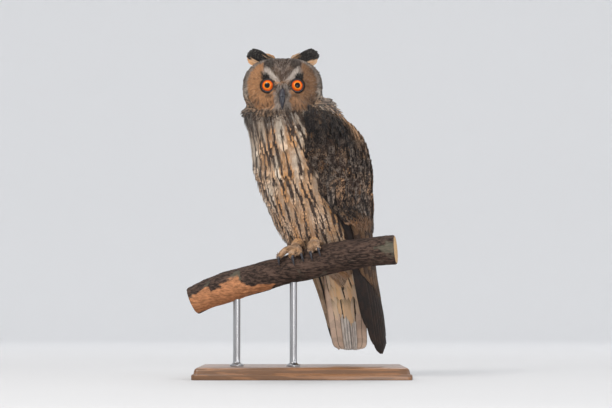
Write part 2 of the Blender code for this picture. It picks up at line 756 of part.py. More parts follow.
perch = build_perch()
build_stand(perch)
torso, neck = build_body()
for name, side in (("left", 1), ("right", -1)):
    foot, claws = build_foot(name, side, perch)
    carve(foot, torso)
    carve(torso, *claws)
carve(torso, perch)
head, eyes = build_head()
carve(neck, head, *build_bill(head))
build_tufts(head)
tail = build_tail(torso)
for name, side in (("wing_left", 1), ("wing_right", -1)):
    build_wing(name, side, torso, neck, tail)
for node in OWL.objects:
    node.data.shade_smooth()
    node.data.set_sharp_from_angle(angle=SHARP_EDGE)
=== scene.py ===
"""A life-size long-eared owl on a cut branch and a stand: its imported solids, dressed in feathers."""

import math

import bmesh
import bpy
import numpy as np
from bpy.props import FloatProperty, FloatVectorProperty, IntProperty, PointerProperty
from mathutils import Matrix, Vector
from mathutils.bvhtree import BVHTree
from mathutils.kdtree import KDTree


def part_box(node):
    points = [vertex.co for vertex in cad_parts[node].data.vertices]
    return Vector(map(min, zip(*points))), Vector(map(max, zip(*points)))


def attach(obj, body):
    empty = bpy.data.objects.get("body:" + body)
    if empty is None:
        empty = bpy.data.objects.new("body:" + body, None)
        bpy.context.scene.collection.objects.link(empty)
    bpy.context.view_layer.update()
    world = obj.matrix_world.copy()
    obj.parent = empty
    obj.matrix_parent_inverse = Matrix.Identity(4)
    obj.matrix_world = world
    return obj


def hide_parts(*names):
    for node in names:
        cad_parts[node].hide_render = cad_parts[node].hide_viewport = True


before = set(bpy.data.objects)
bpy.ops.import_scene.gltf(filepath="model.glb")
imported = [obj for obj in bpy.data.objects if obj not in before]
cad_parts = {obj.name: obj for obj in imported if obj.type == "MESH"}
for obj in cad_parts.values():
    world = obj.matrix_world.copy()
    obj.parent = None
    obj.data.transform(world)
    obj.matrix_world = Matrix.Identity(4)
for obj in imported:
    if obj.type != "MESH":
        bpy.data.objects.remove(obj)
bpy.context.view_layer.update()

bl_info = {
    "name": "Long-eared owl on a branch",
    "version": (1, 0, 0),
    "blender": (4, 5, 0),
    "location": "View3D > Sidebar > Owl",
    "description": "Feathers, eyes, bill, claws, branch and stand of a perched long-eared owl",
    "category": "Object",
}

BODY = "root"

# Where the owl stands: its own frame has +X to its left, -Y ahead and +Z up
GRIP = Vector((-0.0056, -0.024, 0.148))
TO_WORLD = Matrix.Translation(GRIP) @ Matrix.Rotation(math.radians(-40), 4, "Z")
TO_OWN = TO_WORLD.inverted()
HEAD_CENTRE = TO_WORLD @ Vector((0.001, -0.0272, 0.1875))
EYE_PLACE = Vector((0.0156, -0.0232, 0.0))
EYE_RADIUS = 0.0092
# The camera: where it aims, how far off it stands and how far it looks up
CAMERA_AIM, CAMERA_FAR, CAMERA_PITCH = Vector((0.0047, 0.0, 0.2043)), 2.2, math.radians(3.5)
# What the photograph's width spans at the branch: 612 pixels of 1.18 mm
VIEW_WIDTH = 612 * 0.00118
# The middle line of the torso and neck, from the vent up into the head: back and up
SPINE = ((0.084, -0.038), (0.081, -0.022), (0.068, -0.001), (0.048, 0.018), (0.034, 0.042), (0.025, 0.070))
SPINE += ((0.015, 0.100), (0.004, 0.130), (-0.012, 0.152), (-0.022, 0.170), (-0.024, 0.184))
SPINE_BACK, SPINE_UP = np.array(SPINE).T
HEAD_MIDDLE = np.array(HEAD_CENTRE)
# Colours that no property holds, in the renderer's linear units
BREAST_WHITE = (0.80, 0.70, 0.59)
FLANK_RUST = (0.46, 0.22, 0.07)
BARB_PALE = (0.86, 0.78, 0.68)
UNDERTAIL = (0.98, 0.64, 0.34)
TAIL_WHITE = (1.0, 0.97, 0.93)
WORN_EDGE = (0.78, 0.70, 0.60)
WORN_GRIT = (0.85, 0.80, 0.72)
DOWN_DARK = (0.035, 0.028, 0.024)
IRIS_GLOW = (0.78, 0.24, 0.01)
PUPIL_BLACK = (0.003, 0.003, 0.004)
IRIS_RIM = (0.010, 0.006, 0.005)
WORN_HORN = (0.09, 0.085, 0.085)
# The shapes of feathers: columns, rows, root width, tip narrowing, roundness and raggedness
COVERT_SHAPE = (7, 8, 0.5, 0.10, 0.30, 0.20)
BARB_SHAPE = (2, 4, 0.7, 0.85, 0.0, 0.0)
BARB_HALF = 0.00026
TUFT_SHAPE = (7, 12, 0.5, 0.06, 0.30, 0.08)
TAIL_SHAPE = (7, 10, 0.5, 0.12, 0.34, 0.10)


def linear(red, green, blue):
    """A colour picked on screen, 0 to 255, in the renderer's own linear units."""
    parts = (red / 255, green / 255, blue / 255)
    return tuple(c / 12.92 if c <= 0.04045 else ((c + 0.055) / 1.055) ** 2.4 for c in parts)


def colour(name, description, red, green, blue):
    return FloatVectorProperty(
        name=name,
        description=description,
        subtype="COLOR",
        size=3,
        min=0,
        max=1,
        default=linear(red, green, blue),
    )


def length(name, description, value, least=0.0):
    return FloatProperty(
        name=name,
        description=description,
        unit="LENGTH",
        default=value,
        min=least,
        precision=4,
    )


class OwlPlumage(bpy.types.PropertyGroup):
    """Sizes and colours of the feathers."""

    coat_depth: length("Coat depth", "How deep the feathers of breast and back are rooted", 0.0045)
    breast_length: length("Breast feather", "Length of a breast feather", 0.0225, 0.008)
    lane_spacing: FloatProperty(
        name="Lane spacing",
        description="Angle between two rows of breast feathers",
        unit="ROTATION",
        default=0.165,
    )
    row_spacing: length("Row spacing", "Distance between two feathers of one row", 0.0058, 0.002)
    disc_length: length("Disc feather", "Length of a feather of the facial disc", 0.0080, 0.003)
    disc_count: IntProperty(
        name="Disc strands",
        description="Fine feathers of the facial disc",
        default=19000,
        min=100,
    )
    seed: IntProperty(name="Seed", description="Start of every random draw", default=7)
    disc: colour("Facial disc", "Tawny middle of the disc", 170, 122, 82)
    disc_grey: colour("Disc shade", "Greyer outer part of the disc", 97, 71, 51)
    brow: colour("Brows", "Pale brows and bristles", 166, 153, 142)
    crown: colour("Crown", "Mottled crown", 108, 92, 82)
    dark: colour("Streaks", "Dark brown of the streaks", 54, 38, 30)
    black: colour("Black", "Black of the ear tufts and round the eyes", 24, 20, 20)
    cream: colour("Breast", "Cream ground of the breast", 226, 208, 186)
    buff: colour("Buff", "Orange buff of breast and flanks", 204, 150, 98)
    belly: colour("Belly", "Pinkish white of the belly", 212, 182, 156)
    wing: colour("Wing", "Dark brown of the wing", 48, 39, 35)
    wing_pale: colour("Wing mottling", "Pale grey mottling of wing and back", 142, 126, 113)
    toe: colour("Toes", "Plain buff of legs and toes", 192, 146, 100)
    tail: colour("Tail", "Grey buff of the tail", 232, 220, 208)


class OwlHorn(bpy.types.PropertyGroup):
    """Sizes and colours of eyes, bill and claws."""

    iris: colour("Iris", "Orange of the iris", 226, 90, 6)
    pupil: FloatProperty(
        name="Pupil",
        description="Pupil's share of the iris",
        default=0.46,
        min=0.1,
        max=0.9,
    )
    horn: colour("Horn", "Blackish bill and claws", 38, 37, 44)


class OwlPerch(bpy.types.PropertyGroup):
    """Sizes and colours of the branch and its stand."""

    ridge: length("Bark ridges", "Height of the bark's ridges", 0.0011)
    bark: colour("Bark", "Brown bark", 84, 66, 57)
    bark_dark: colour("Bark furrows", "Dark furrows of the bark", 38, 30, 26)
    bare: colour("Bare wood", "Reddish wood where the bark is off", 176, 120, 82)
    base: colour("Base", "Varnished wood of the base", 132, 92, 60)
    metal: colour("Rods", "Brushed metal of the rods", 176, 176, 178)


class Wire:
    """A node's outlet, which can be added and multiplied like a number."""

    def __init__(self, net, outlet):
        self.net, self.outlet = net, outlet

    def maths(self, operation, *others):
        return self.net.maths(operation, self, *others)

    def __add__(self, other):
        return self.maths("ADD", other)

    def __sub__(self, other):
        return self.maths("SUBTRACT", other)

    def __rsub__(self, other):
        return self.net.maths("SUBTRACT", other, self)

    def __mul__(self, other):
        return self.maths("MULTIPLY", other)

    def __pow__(self, other):
        return self.maths("POWER", other)

    __radd__ = __add__
    __rmul__ = __mul__


class Net:
    """A node tree, and short ways to fill it in."""

    def __init__(self, tree):
        self.tree = tree

    def add(self, kind, settings=None, inputs=None, outlet=0):
        """A node of that kind. Its settings are made first, then its sockets get numbers or wires."""
        node = self.tree.nodes.new(kind)
        for key, value in (settings or {}).items():
            setattr(node, key, value)
        for key, value in (inputs or {}).items():
            socket = self.pick(node.inputs, key)
            if isinstance(value, Wire):
                self.tree.links.new(value.outlet, socket)
            else:
                socket.default_value = value
        return Wire(self, self.pick(node.outputs, outlet)) if node.outputs else node

    def pick(self, sockets, key):
        if isinstance(key, int):
            return sockets[key]
        return next(s for s in sockets if s.name == key and s.enabled)

    def other(self, wire, key):
        """Another outlet of the node that the wire comes from."""
        return Wire(self, self.pick(wire.outlet.node.outputs, key))

    def maths(self, operation, *parts):
        return self.add("ShaderNodeMath", {"operation": operation}, dict(enumerate(parts)))

    def vector(self, operation, *parts, outlet=0):
        return self.add("ShaderNodeVectorMath", {"operation": operation}, dict(enumerate(parts)), outlet)

    def scaled(self, vector, number):
        return self.add("ShaderNodeVectorMath", {"operation": "SCALE"}, {0: vector, 3: number})

    def split(self, vector):
        """The three numbers of a vector."""
        first = self.add("ShaderNodeSeparateXYZ", None, {0: vector})
        return first, self.other(first, "Y"), self.other(first, "Z")

    def mix(self, share, first, second):
        """A colour between two colours."""
        first, second = (c if isinstance(c, Wire) else (*c, 1) for c in (first, second))
        settings = {"data_type": "RGBA", "clamp_factor": True}
        return self.add("ShaderNodeMix", settings, {0: share, 6: first, 7: second}, 2)

    def step(self, value, low, high):
        """A soft step from 0 at low to 1 at high."""
        settings = {"interpolation_type": "SMOOTHSTEP"}
        return self.add("ShaderNodeMapRange", settings, {"Value": value, "From Min": low, "From Max": high})

    def noise(self, vector, scale, detail=2.0, rough=0.5):
        inputs = {"Vector": vector, "Scale": scale, "Detail": detail, "Roughness": rough}
        return self.add("ShaderNodeTexNoise", {"noise_dimensions": "3D"}, inputs)

    def mapped(self, vector, scale, turn=(0.0, 0.0, 0.0)):
        """The vector, turned and then stretched."""
        return self.add("ShaderNodeMapping", None, {"Vector": vector, "Rotation": turn, "Scale": scale})

    def kept(self, name, outlet="Color"):
        """What the mesh keeps at its points under that name."""
        return self.add("ShaderNodeAttribute", {"attribute_name": name}, outlet=outlet)

    def spot(self):
        """The place on the object."""
        return self.add("ShaderNodeTexCoord", outlet="Object")


def material(name, build, **constants):
    """A Principled material, made once. build(net) gives the wires of what varies."""
    name = "owl_" + name
    if name in bpy.data.materials:
        return bpy.data.materials[name]
    made = bpy.data.materials.new(name)
    made.use_nodes = True
    tree = made.node_tree
    shader = tree.nodes["Principled BSDF"]
    net = Net(tree)
    for key, value in constants.items():
        shader.inputs[key.replace("_", " ")].default_value = value
    for key, value in build(net).items():
        tree.links.new(value.outlet, shader.inputs[key])
    return made


def bump(net, height, distance, strength=0.6):
    return net.add("ShaderNodeBump", None, {"Height": height, "Distance": distance, "Strength": strength})


def shaded(shade, share):
    """A darker or lighter tone of a colour."""
    return tuple(c * share for c in shade)


def keep_rows(mesh, name, rows):
    """Keeps three numbers for each point of the mesh."""
    layer = mesh.attributes.new(name, "FLOAT_VECTOR", "POINT")
    layer.data.foreach_set("vector", np.ascontiguousarray(rows, dtype=np.float32).ravel())


def keep_map(mesh, name, flat):
    """Keeps a map that has one place for each point of the mesh."""
    corner = np.array([loop.vertex_index for loop in mesh.loops])
    mesh.uv_layers.new(name=name).data.foreach_set("uv", flat[corner].astype(np.float32).ravel())


def piece(name, mesh, slot, *nodes, finish=None, smooth=True):
    """The finished object: it rides on the body, stands for the nodes and takes the finish, if one is given.
    The slot is not used.
    """
    made = bpy.data.objects.new(name, mesh)
    mesh.name = name
    bpy.context.scene.collection.objects.link(made)
    if finish:
        mesh.materials.clear()
        mesh.materials.append(finish)
    if smooth:
        mesh.shade_smooth()
    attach(made, BODY)
    if nodes:
        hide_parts(*nodes)
    return made


def mesh_from(name, points, faces, turned=True):
    """A mesh of those points and faces, with its faces pointing out of the closed shape."""
    mesh = bpy.data.meshes.new(name)
    mesh.from_pydata([tuple(p) for p in points], [], faces)
    if turned:
        shape = bmesh.new()
        shape.from_mesh(mesh)
        bmesh.ops.recalc_face_normals(shape, faces=shape.faces)
        shape.to_mesh(mesh)
        shape.free()
    return mesh


def around(sides):
    """Angles evenly round a turn."""
    return np.arange(sides) * 2 * math.pi / sides


def circle(radius, turns, height):
    """Points round the upright axis."""
    heights = np.broadcast_to(height, turns.shape)
    return np.column_stack([radius * np.cos(turns), radius * np.sin(turns), heights])


def ring_faces(count, sides):
    """Quads between rings of points that follow one another."""
    return [
        (i * sides + j, i * sides + (j + 1) % sides, (i + 1) * sides + (j + 1) % sides, (i + 1) * sides + j)
        for i in range(count - 1)
        for j in range(sides)
    ]


def pole_faces(count, sides):
    """Faces of rings that close at two poles, whose points follow those of the rings."""
    last, pole = (count - 1) * sides, count * sides
    faces = ring_faces(count, sides)
    faces += [(pole, (j + 1) % sides, j) for j in range(sides)]
    faces += [(pole + 1, last + j, last + (j + 1) % sides) for j in range(sides)]
    return faces


def capped_faces(count, sides):
    """Faces of rings whose first and last are filled flat."""
    return [*ring_faces(count, sides), tuple(range(sides)), tuple(range((count - 1) * sides, count * sides))]


def evaluated(made):
    """A plain mesh of the object with its modifiers, which are then removed."""
    bpy.context.view_layer.update()
    mesh = bpy.data.meshes.new_from_object(made.evaluated_get(bpy.context.evaluated_depsgraph_get()))
    made.modifiers.clear()
    return mesh


def smooth_rows(stations, count):
    """Rows of numbers on a Catmull-Rom curve through the stations."""
    rows = np.array(stations, float)
    ends = np.vstack([2 * rows[0] - rows[1], rows, 2 * rows[-1] - rows[-2]])
    place = np.linspace(0, len(rows) - 1, count)
    i = np.minimum(place.astype(int), len(rows) - 2)
    f = (place - i)[:, None]
    a, b, c, d = (ends[i + k] for k in range(4))
    return 0.5 * (2 * b + (c - a) * f + (2 * a - 5 * b + 4 * c - d) * f**2 + (3 * b - a - 3 * c + d) * f**3)


def to_own(points):
    """World points in the owl's own frame."""
    turn = np.array(TO_OWN.to_3x3())
    return (points - np.array(GRIP)) @ turn.T


def to_world(vectors, place=True):
    turn = np.array(TO_WORLD.to_3x3())
    return vectors @ turn.T + (np.array(GRIP) if place else 0)


def unit(vectors):
    return vectors / np.maximum(np.linalg.norm(vectors, axis=-1, keepdims=True), 1e-9)


def along_skin(ways, out):
    """The ways laid flat on the skin."""
    return unit(ways - out * (ways * out).sum(1, keepdims=True))


def ramp(values, low, high):
    """A soft step from 0 at low to 1 at high."""
    share = np.clip((values - low) / (high - low), 0, 1)
    return share * share * (3 - 2 * share)


def ripple(points, size, seed):
    """Smooth noise from -1 to 1 whose patches are about that size."""
    draw = np.random.default_rng(seed)
    total = np.zeros(len(points))
    for _ in range(7):
        way = draw.normal(size=3)
        wave = way / np.linalg.norm(way) * draw.uniform(2.2, 4.5) / size
        total += np.sin(points @ wave + draw.uniform(0, 6.28))
    return total / 2.8


def blend(first, second, share):
    """Rows of colours between two colours or rows of colours."""
    share = np.asarray(share)[..., None]
    return np.asarray(first) * (1 - share) + np.asarray(second) * share


# The feather tree's inputs that each coat sets, and the size of a feather's patch on the map
COAT_SHAPE = ("Columns", "Rows", "Root width", "Tip narrowing", "Roundness", "Raggedness")
BAKE_PATCH = 0.003


def vane_tree():
    """The tree that grows one curved vane from each root and joins them into one mesh."""
    tree = bpy.data.node_groups.new("Feather coat", "GeometryNodeTree")
    face = tree.interface
    face.new_socket("Roots", in_out="INPUT", socket_type="NodeSocketGeometry")
    for label, kind, value in (
        ("Columns", "Int", 5),
        ("Rows", "Int", 6),
        ("Root width", "Float", 0.5),
        ("Tip narrowing", "Float", 0.2),
        ("Roundness", "Float", 0.2),
        ("Raggedness", "Float", 0.1),
        ("Patch size", "Float", 0.003),
        ("Seed", "Int", 7),
    ):
        socket = face.new_socket(label, in_out="INPUT", socket_type="NodeSocket" + kind)
        socket.default_value = value
    face.new_socket("Finish", in_out="INPUT", socket_type="NodeSocketMaterial")
    face.new_socket("Plumage", in_out="OUTPUT", socket_type="NodeSocketGeometry")
    net = Net(tree)
    given = net.add("NodeGroupInput")
    size = {"Vertices X": net.other(given, "Columns"), "Vertices Y": net.other(given, "Rows")}
    grid = net.add("GeometryNodeMeshGrid", None, {"Size X": 1.0, "Size Y": 1.0, **size})
    leaf = store(net, grid, "vane", net.other(grid, "UV Map"))
    placed = net.add("GeometryNodeInstanceOnPoints", None, {"Points": given, "Instance": leaf})
    grown = net.add("GeometryNodeRealizeInstances", None, {"Geometry": placed})

    def read(name):
        return net.add("GeometryNodeInputNamedAttribute", {"data_type": "FLOAT_VECTOR"}, {"Name": name})

    share, along, _ = net.split(read("vane"))
    across = share * 2.0 - 1.0
    long, wide, lift = net.split(read("span"))
    curl, cup, roll = net.split(read("bend"))
    root, lie, out = read("root"), read("lie"), read("out")
    column = net.add("ShaderNodeCombineXYZ", None, {0: across * 3.1, 1: net.other(given, "Seed")})
    apart = net.vector("ADD", net.scaled(root, 9173.0), column)
    chance = net.add("ShaderNodeTexWhiteNoise", {"noise_dimensions": "3D"}, {"Vector": apart})
    ragged = net.other(given, "Raggedness")
    flat = across * across
    reach = along * (1.0 - flat * net.other(given, "Roundness") - ragged * chance)
    angle = lift - curl * reach * 0.5
    ahead = long * reach * angle.maths("COSINE")
    height = long * reach * angle.maths("SINE") - flat * cup * wide + across * roll * wide
    slim = net.other(given, "Root width")
    body = slim + (1.0 - slim) * (1.0 - (1.0 - along) ** 2.0)
    width = wide * body * (1.0 - net.other(given, "Tip narrowing") * along ** 3.0)
    sway = (chance - 0.5) * ragged * along * wide * 1.6
    side = net.vector("CROSS_PRODUCT", lie, out)
    place = net.vector("ADD", root, net.scaled(lie, ahead))
    place = net.vector("ADD", place, net.scaled(out, height))
    place = net.vector("ADD", place, net.scaled(side, across * width + sway))
    shaped = net.add("GeometryNodeSetPosition", None, {"Geometry": grown, "Position": place})
    patch = net.scaled(net.vector("SUBTRACT", read("vane"), (0.5, 0.5, 0.0)), net.other(given, "Patch size"))
    mapped = store(net, shaped, "OFBake", net.vector("ADD", read("bake"), patch))
    finish = {"Geometry": mapped, "Material": net.other(given, "Finish")}
    net.add("NodeGroupOutput", None, {0: net.add("GeometryNodeSetMaterial", None, finish)})
    return tree


def store(net, shape, name, value):
    """Keeps a map of the mesh's faces under that name."""
    settings = {"data_type": "FLOAT2", "domain": "CORNER"}
    inputs = {"Geometry": shape, "Name": name, "Value": value}
    return net.add("GeometryNodeStoreNamedAttribute", settings, inputs)


class Roots:
    """Where feathers grow, one row each: place, way they lie, way out, size, bend, colours and marks.

    The span is length, half width and lift; the bend is curl along it, cup across it and roll.
    """

    def __init__(self, root, lie, out, span, bend, tint, mark):
        n = len(root)
        self.root, self.lie, self.out = root, lie, out
        self.span, self.bend = (np.column_stack([np.broadcast_to(v, n) for v in row]) for row in (span, bend))
        self.tint, self.mark = (np.broadcast_to(shade, (n, 3)) for shade in (tint, mark))
        self.streak = np.zeros((n, 3))

    def marked(self, streak, bars=0.0, edge=0.0):
        """Streak width, strength of the cross bars and paleness of the edge, each 0 to 1."""
        self.streak = np.column_stack([np.broadcast_to(v, len(self.root)) for v in (streak, bars, edge)])
        return self


def layered(tint, *layers):
    """The colours with one layer after another laid over them, each a colour and its share."""
    for shade, share in layers:
        tint = blend(tint, shade, share)
    return tint


def round_spine(own):
    """The angle of places round the spine: 0 ahead, and positive to the owl's left."""
    return np.arctan2(own[:, 0], np.interp(own[:, 2], SPINE_UP, SPINE_BACK) - own[:, 1])


def unwrapped(points):
    """Places of world points on an unwrap round the spine and up the bird."""
    own = to_own(points)
    turn = round_spine(own)
    return np.column_stack([0.5 + turn / 6.4, np.clip((own[:, 2] + 0.06) / 0.30, 0.0, 0.995)])


def grow(name, roots, shape, finish, slot, *nodes, bake=None):
    """Grows the feathers as one piece, with the shape's numbers for the tree's inputs in their order."""
    mesh = bpy.data.meshes.new(name + "_roots")
    mesh.vertices.add(len(roots.root))
    mesh.vertices.foreach_set("co", roots.root.astype(np.float32).ravel())
    flat = unwrapped(roots.root) if bake is None else bake
    fields = {key: getattr(roots, key) for key in ("root", "lie", "out", "span", "bend")}
    fields["bake"] = np.column_stack([flat, np.zeros(len(flat))])
    looks = {key: getattr(roots, key) for key in ("tint", "mark", "streak")}
    for key, rows in {**fields, **looks}.items():
        keep_rows(mesh, key, rows)
    seedling = bpy.data.objects.new(name + "_roots", mesh)
    bpy.context.scene.collection.objects.link(seedling)
    step = seedling.modifiers.new("coat", "NODES")
    step.node_group = bpy.data.node_groups.get("Feather coat") or vane_tree()
    sockets = [item for item in step.node_group.interface.items_tree if item.in_out == "INPUT"]
    names = {item.name: item.identifier for item in sockets}
    for label, value in zip(COAT_SHAPE, shape):
        step[names[label]] = value
    step[names["Patch size"]] = BAKE_PATCH
    step[names["Finish"]] = finish
    step[names["Seed"]] = bpy.context.scene.owl_plumage.seed
    grown = evaluated(seedling)
    bpy.data.objects.remove(seedling)
    for key in fields:
        grown.attributes.remove(grown.attributes[key])
    return piece(name, grown, slot, *nodes)


# The size of the skin's faces, and how far the solids swell so that they join into one skin
SKIN_GRAIN = 0.0013
SKIN_SWELL = 0.0005
# Where the legs end upward, and how deep the down lies on head, face and feet
LEG_TOP = GRIP.z + 0.055
HEAD_COAT, FACE_COAT, FOOT_COAT = 0.0030, 0.0014, 0.0012


def flesh_surface():
    """The outer skin of head, neck, torso, legs and toes as one closed mesh."""
    points, faces = [], []
    for name in ("head", "neck", "torso", "foot_left", "foot_right"):
        shape = bmesh.new()
        shape.from_mesh(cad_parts[name].data)
        bmesh.ops.remove_doubles(shape, verts=shape.verts, dist=0.00001)
        shape.normal_update()
        start = len(points)
        points.extend(v.co + v.normal * SKIN_SWELL for v in shape.verts)
        faces.extend([start + v.index for v in f.verts] for f in shape.faces)
        shape.free()
    made = bpy.data.objects.new("flesh", mesh_from("flesh", points, faces, turned=False))
    bpy.context.scene.collection.objects.link(made)
    remesh = made.modifiers.new("one skin", "REMESH")
    remesh.mode = "VOXEL"
    remesh.voxel_size = SKIN_GRAIN
    smooth = made.modifiers.new("relax", "SMOOTH")
    smooth.factor = 0.5
    smooth.iterations = 4
    mesh = evaluated(made)
    bpy.data.objects.remove(made)
    shape = bmesh.new()
    shape.from_mesh(mesh)
    left, best = set(shape.faces), set()
    while left:
        patch, edge = set(), {left.pop()}
        while edge:
            patch |= edge
            edge = {g for f in edge for e in f.edges for g in e.link_faces} - patch
        left -= patch
        best = max(best, patch, key=len)
    bmesh.ops.delete(shape, geom=[f for f in shape.faces if f not in best], context="FACES")
    shape.to_mesh(mesh)
    shape.free()
    return mesh


class Flesh:
    """The outer skin with its smoothed normals, where its points belong, and a tree for rays."""

    def __init__(self):
        self.mesh = flesh_surface()
        rows = np.empty(len(self.mesh.vertices) * 3, np.float32)
        self.mesh.vertices.foreach_get("co", rows)
        self.points = rows.reshape(-1, 3).astype(float)
        edges = np.array([e.vertices[:] for e in self.mesh.edges])
        normals = np.array([tuple(n.vector) for n in self.mesh.vertex_normals])
        for _ in range(6):
            total = normals.copy()
            np.add.at(total, edges[:, 0], normals[edges[:, 1]])
            np.add.at(total, edges[:, 1], normals[edges[:, 0]])
            normals = unit(total)
        self.normals = normals
        self.mesh.calc_loop_triangles()
        self.faces = np.array([t.vertices[:] for t in self.mesh.loop_triangles])
        self.tree = BVHTree.FromPolygons(self.points.tolist(), self.faces.tolist())
        self.foot = np.zeros(len(self.points))
        near = {n: tree_of(n) for n in ("head", "neck", "torso", "foot_left", "foot_right")}
        for i, p in enumerate(self.points):
            if p[2] < LEG_TOP:
                place = Vector(p)
                gaps = {n: near[n].find_nearest(place)[3] for n in ("torso", "foot_left", "foot_right")}
                self.foot[i] = min(gaps["foot_left"], gaps["foot_right"]) < gaps["torso"]
        self.depth = coat_depth(self.points, self.foot)

    def at(self, face, place):
        """Normal, coat depth and share of foot at a place inside the faces, by the corners' nearness."""
        corner = self.faces[face]
        weight = 1 / np.maximum(np.linalg.norm(self.points[corner] - place[:, None], axis=2), 1e-6)
        weight /= weight.sum(1, keepdims=True)
        normal = unit((self.normals[corner] * weight[..., None]).sum(1))
        return normal, (self.depth[corner] * weight).sum(1), (self.foot[corner] * weight).sum(1)

    def scatter(self, draw, count, weight_of, spacing=None):
        """Places spread over the skin in the weight's proportion, no two closer than the spacing."""
        corners = self.points[self.faces]
        first, second = (corners[:, k] - corners[:, 0] for k in (1, 2))
        area = np.linalg.norm(np.cross(first, second), axis=1) / 2
        weight = area * weight_of(corners.mean(1))
        face = draw.choice(len(area), size=count, p=weight / weight.sum())
        a, b = draw.random((2, count))
        over = a + b > 1
        a[over], b[over] = 1 - a[over], 1 - b[over]
        place = corners[face, 0] + first[face] * a[:, None] + second[face] * b[:, None]
        if spacing:
            tree = KDTree(count)
            for i, p in enumerate(place):
                tree.insert(p, i)
            tree.balance()
            taken = np.zeros(count, bool)
            kept = []
            for i in range(count):
                if not taken[i]:
                    kept.append(i)
                    for _, j, _ in tree.find_range(place[i], spacing):
                        taken[j] = True
            face, place = face[kept], place[kept]
        return (place, *self.at(face, place))

    def cast(self, starts, ways):
        """Where rays from inside leave the skin: which do, place, normal, coat depth and share of foot."""
        hits, faces, kept = [], [], []
        for i, (start, way) in enumerate(zip(starts, ways)):
            place, _, face, _ = self.tree.ray_cast(Vector(start), Vector(way), 0.12)
            if place:
                hits.append(place[:])
                faces.append(face)
                kept.append(i)
        place = np.array(hits)
        return (np.array(kept), place, *self.at(np.array(faces), place))


def tree_of(*names):
    points, faces = [], []
    for name in names:
        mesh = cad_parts[name].data
        start = len(points)
        points.extend(v.co.copy() for v in mesh.vertices)
        faces.extend([start + i for i in p.vertices] for p in mesh.polygons)
    return BVHTree.FromPolygons(points, faces)


# In the head's own frame: the middle and half size of each half of the disc, across and up
DISC_MIDDLE, DISC_HALF = (0.0185, -0.0010), (0.0210, 0.0280)
# The pale brow: where it starts over the bill, and the way that it rises
BROW_ROOT, BROW_WAY = (0.0046, 0.0030), (0.736, 0.677)
# How far out the middle of the eye's opening lies
EYE_ACROSS = 0.0174


def head_share(points):
    """1 on the head, fading to 0 on the neck under it."""
    at = points - HEAD_MIDDLE
    return ramp(-np.linalg.norm(at / (0.0455, 0.043, 0.036), axis=1), -1.30, -1.08)


def face_reach(at):
    """How far out a point of the head frame lies in the nearer half of the disc: 1 at the disc's rim."""
    across, up = np.abs(at[:, 0]) - DISC_MIDDLE[0], at[:, 2] - DISC_MIDDLE[1]
    return np.where(at[:, 1] < 0.006, np.hypot(across / DISC_HALF[0], up / DISC_HALF[1]), 2.0)


def coat_depth(points, foot):
    """How far the skin lies under the outer surface: least on the face and feet."""
    deep = bpy.context.scene.owl_plumage.coat_depth
    at = points - HEAD_MIDDLE
    head = head_share(points)
    face = ramp(-face_reach(at), -1.15, -0.85) * head
    depth = deep * (1 - head) + HEAD_COAT * head
    depth = depth * (1 - face) + FACE_COAT * face
    return depth * (1 - foot) + FOOT_COAT * foot


def head_ways(points, out):
    """The way the feathers of the head lie: out from the bill over the face, then back and down."""
    at = points - HEAD_MIDDLE
    round_bill = at - np.array((0.0, -0.040, -0.008))
    back = np.array((0.0, 1.0, -0.8)) * np.ones_like(at)
    eye = np.stack([np.sign(at[:, 0]) * (EYE_PLACE.x + 0.0018), at[:, 1], np.zeros(len(at))], axis=1)
    from_eye = at - eye
    disc = ramp(-face_reach(at), -1.10, -0.9) * ramp(np.abs(at[:, 0]), 0.008, 0.014)
    share = ramp(at[:, 1], -0.012, 0.012)[:, None]
    ways = unit(round_bill) * (1 - share) + unit(back) * share
    ways = ways * (1 - disc[:, None]) + unit(from_eye) * disc[:, None]
    bridge = ramp(-np.abs(at[:, 0]), -0.0055, -0.0028) * ramp(-at[:, 2], -0.008, 0.0) * (at[:, 1] < -0.012)
    ways = ways * (1 - bridge[:, None]) + np.array((0.0, -0.6, -1.0)) * bridge[:, None]
    return along_skin(ways, out)


def body_ways(points, out):
    """The way the feathers of neck, torso and legs lie: down along the spine."""
    own = to_own(points)
    low = ramp(own[:, 2], 0.06, -0.01)[:, None]
    ways = np.array((0.0, 0.42, -0.9)) * (1 - low) + np.array((0.0, 0.62, -0.78)) * low
    front = ramp(-own[:, 1] + 0.01, 0.0, 0.02)[:, None] * low
    ways = ways * (1 - front) + np.array((0.0, 0.20, -0.98)) * front
    return along_skin(to_world(ways, place=False), out)


def coat_ways(points, out):
    share = head_share(points)[:, None]
    return along_skin(head_ways(points, out) * share + body_ways(points, out) * (1 - share), out)


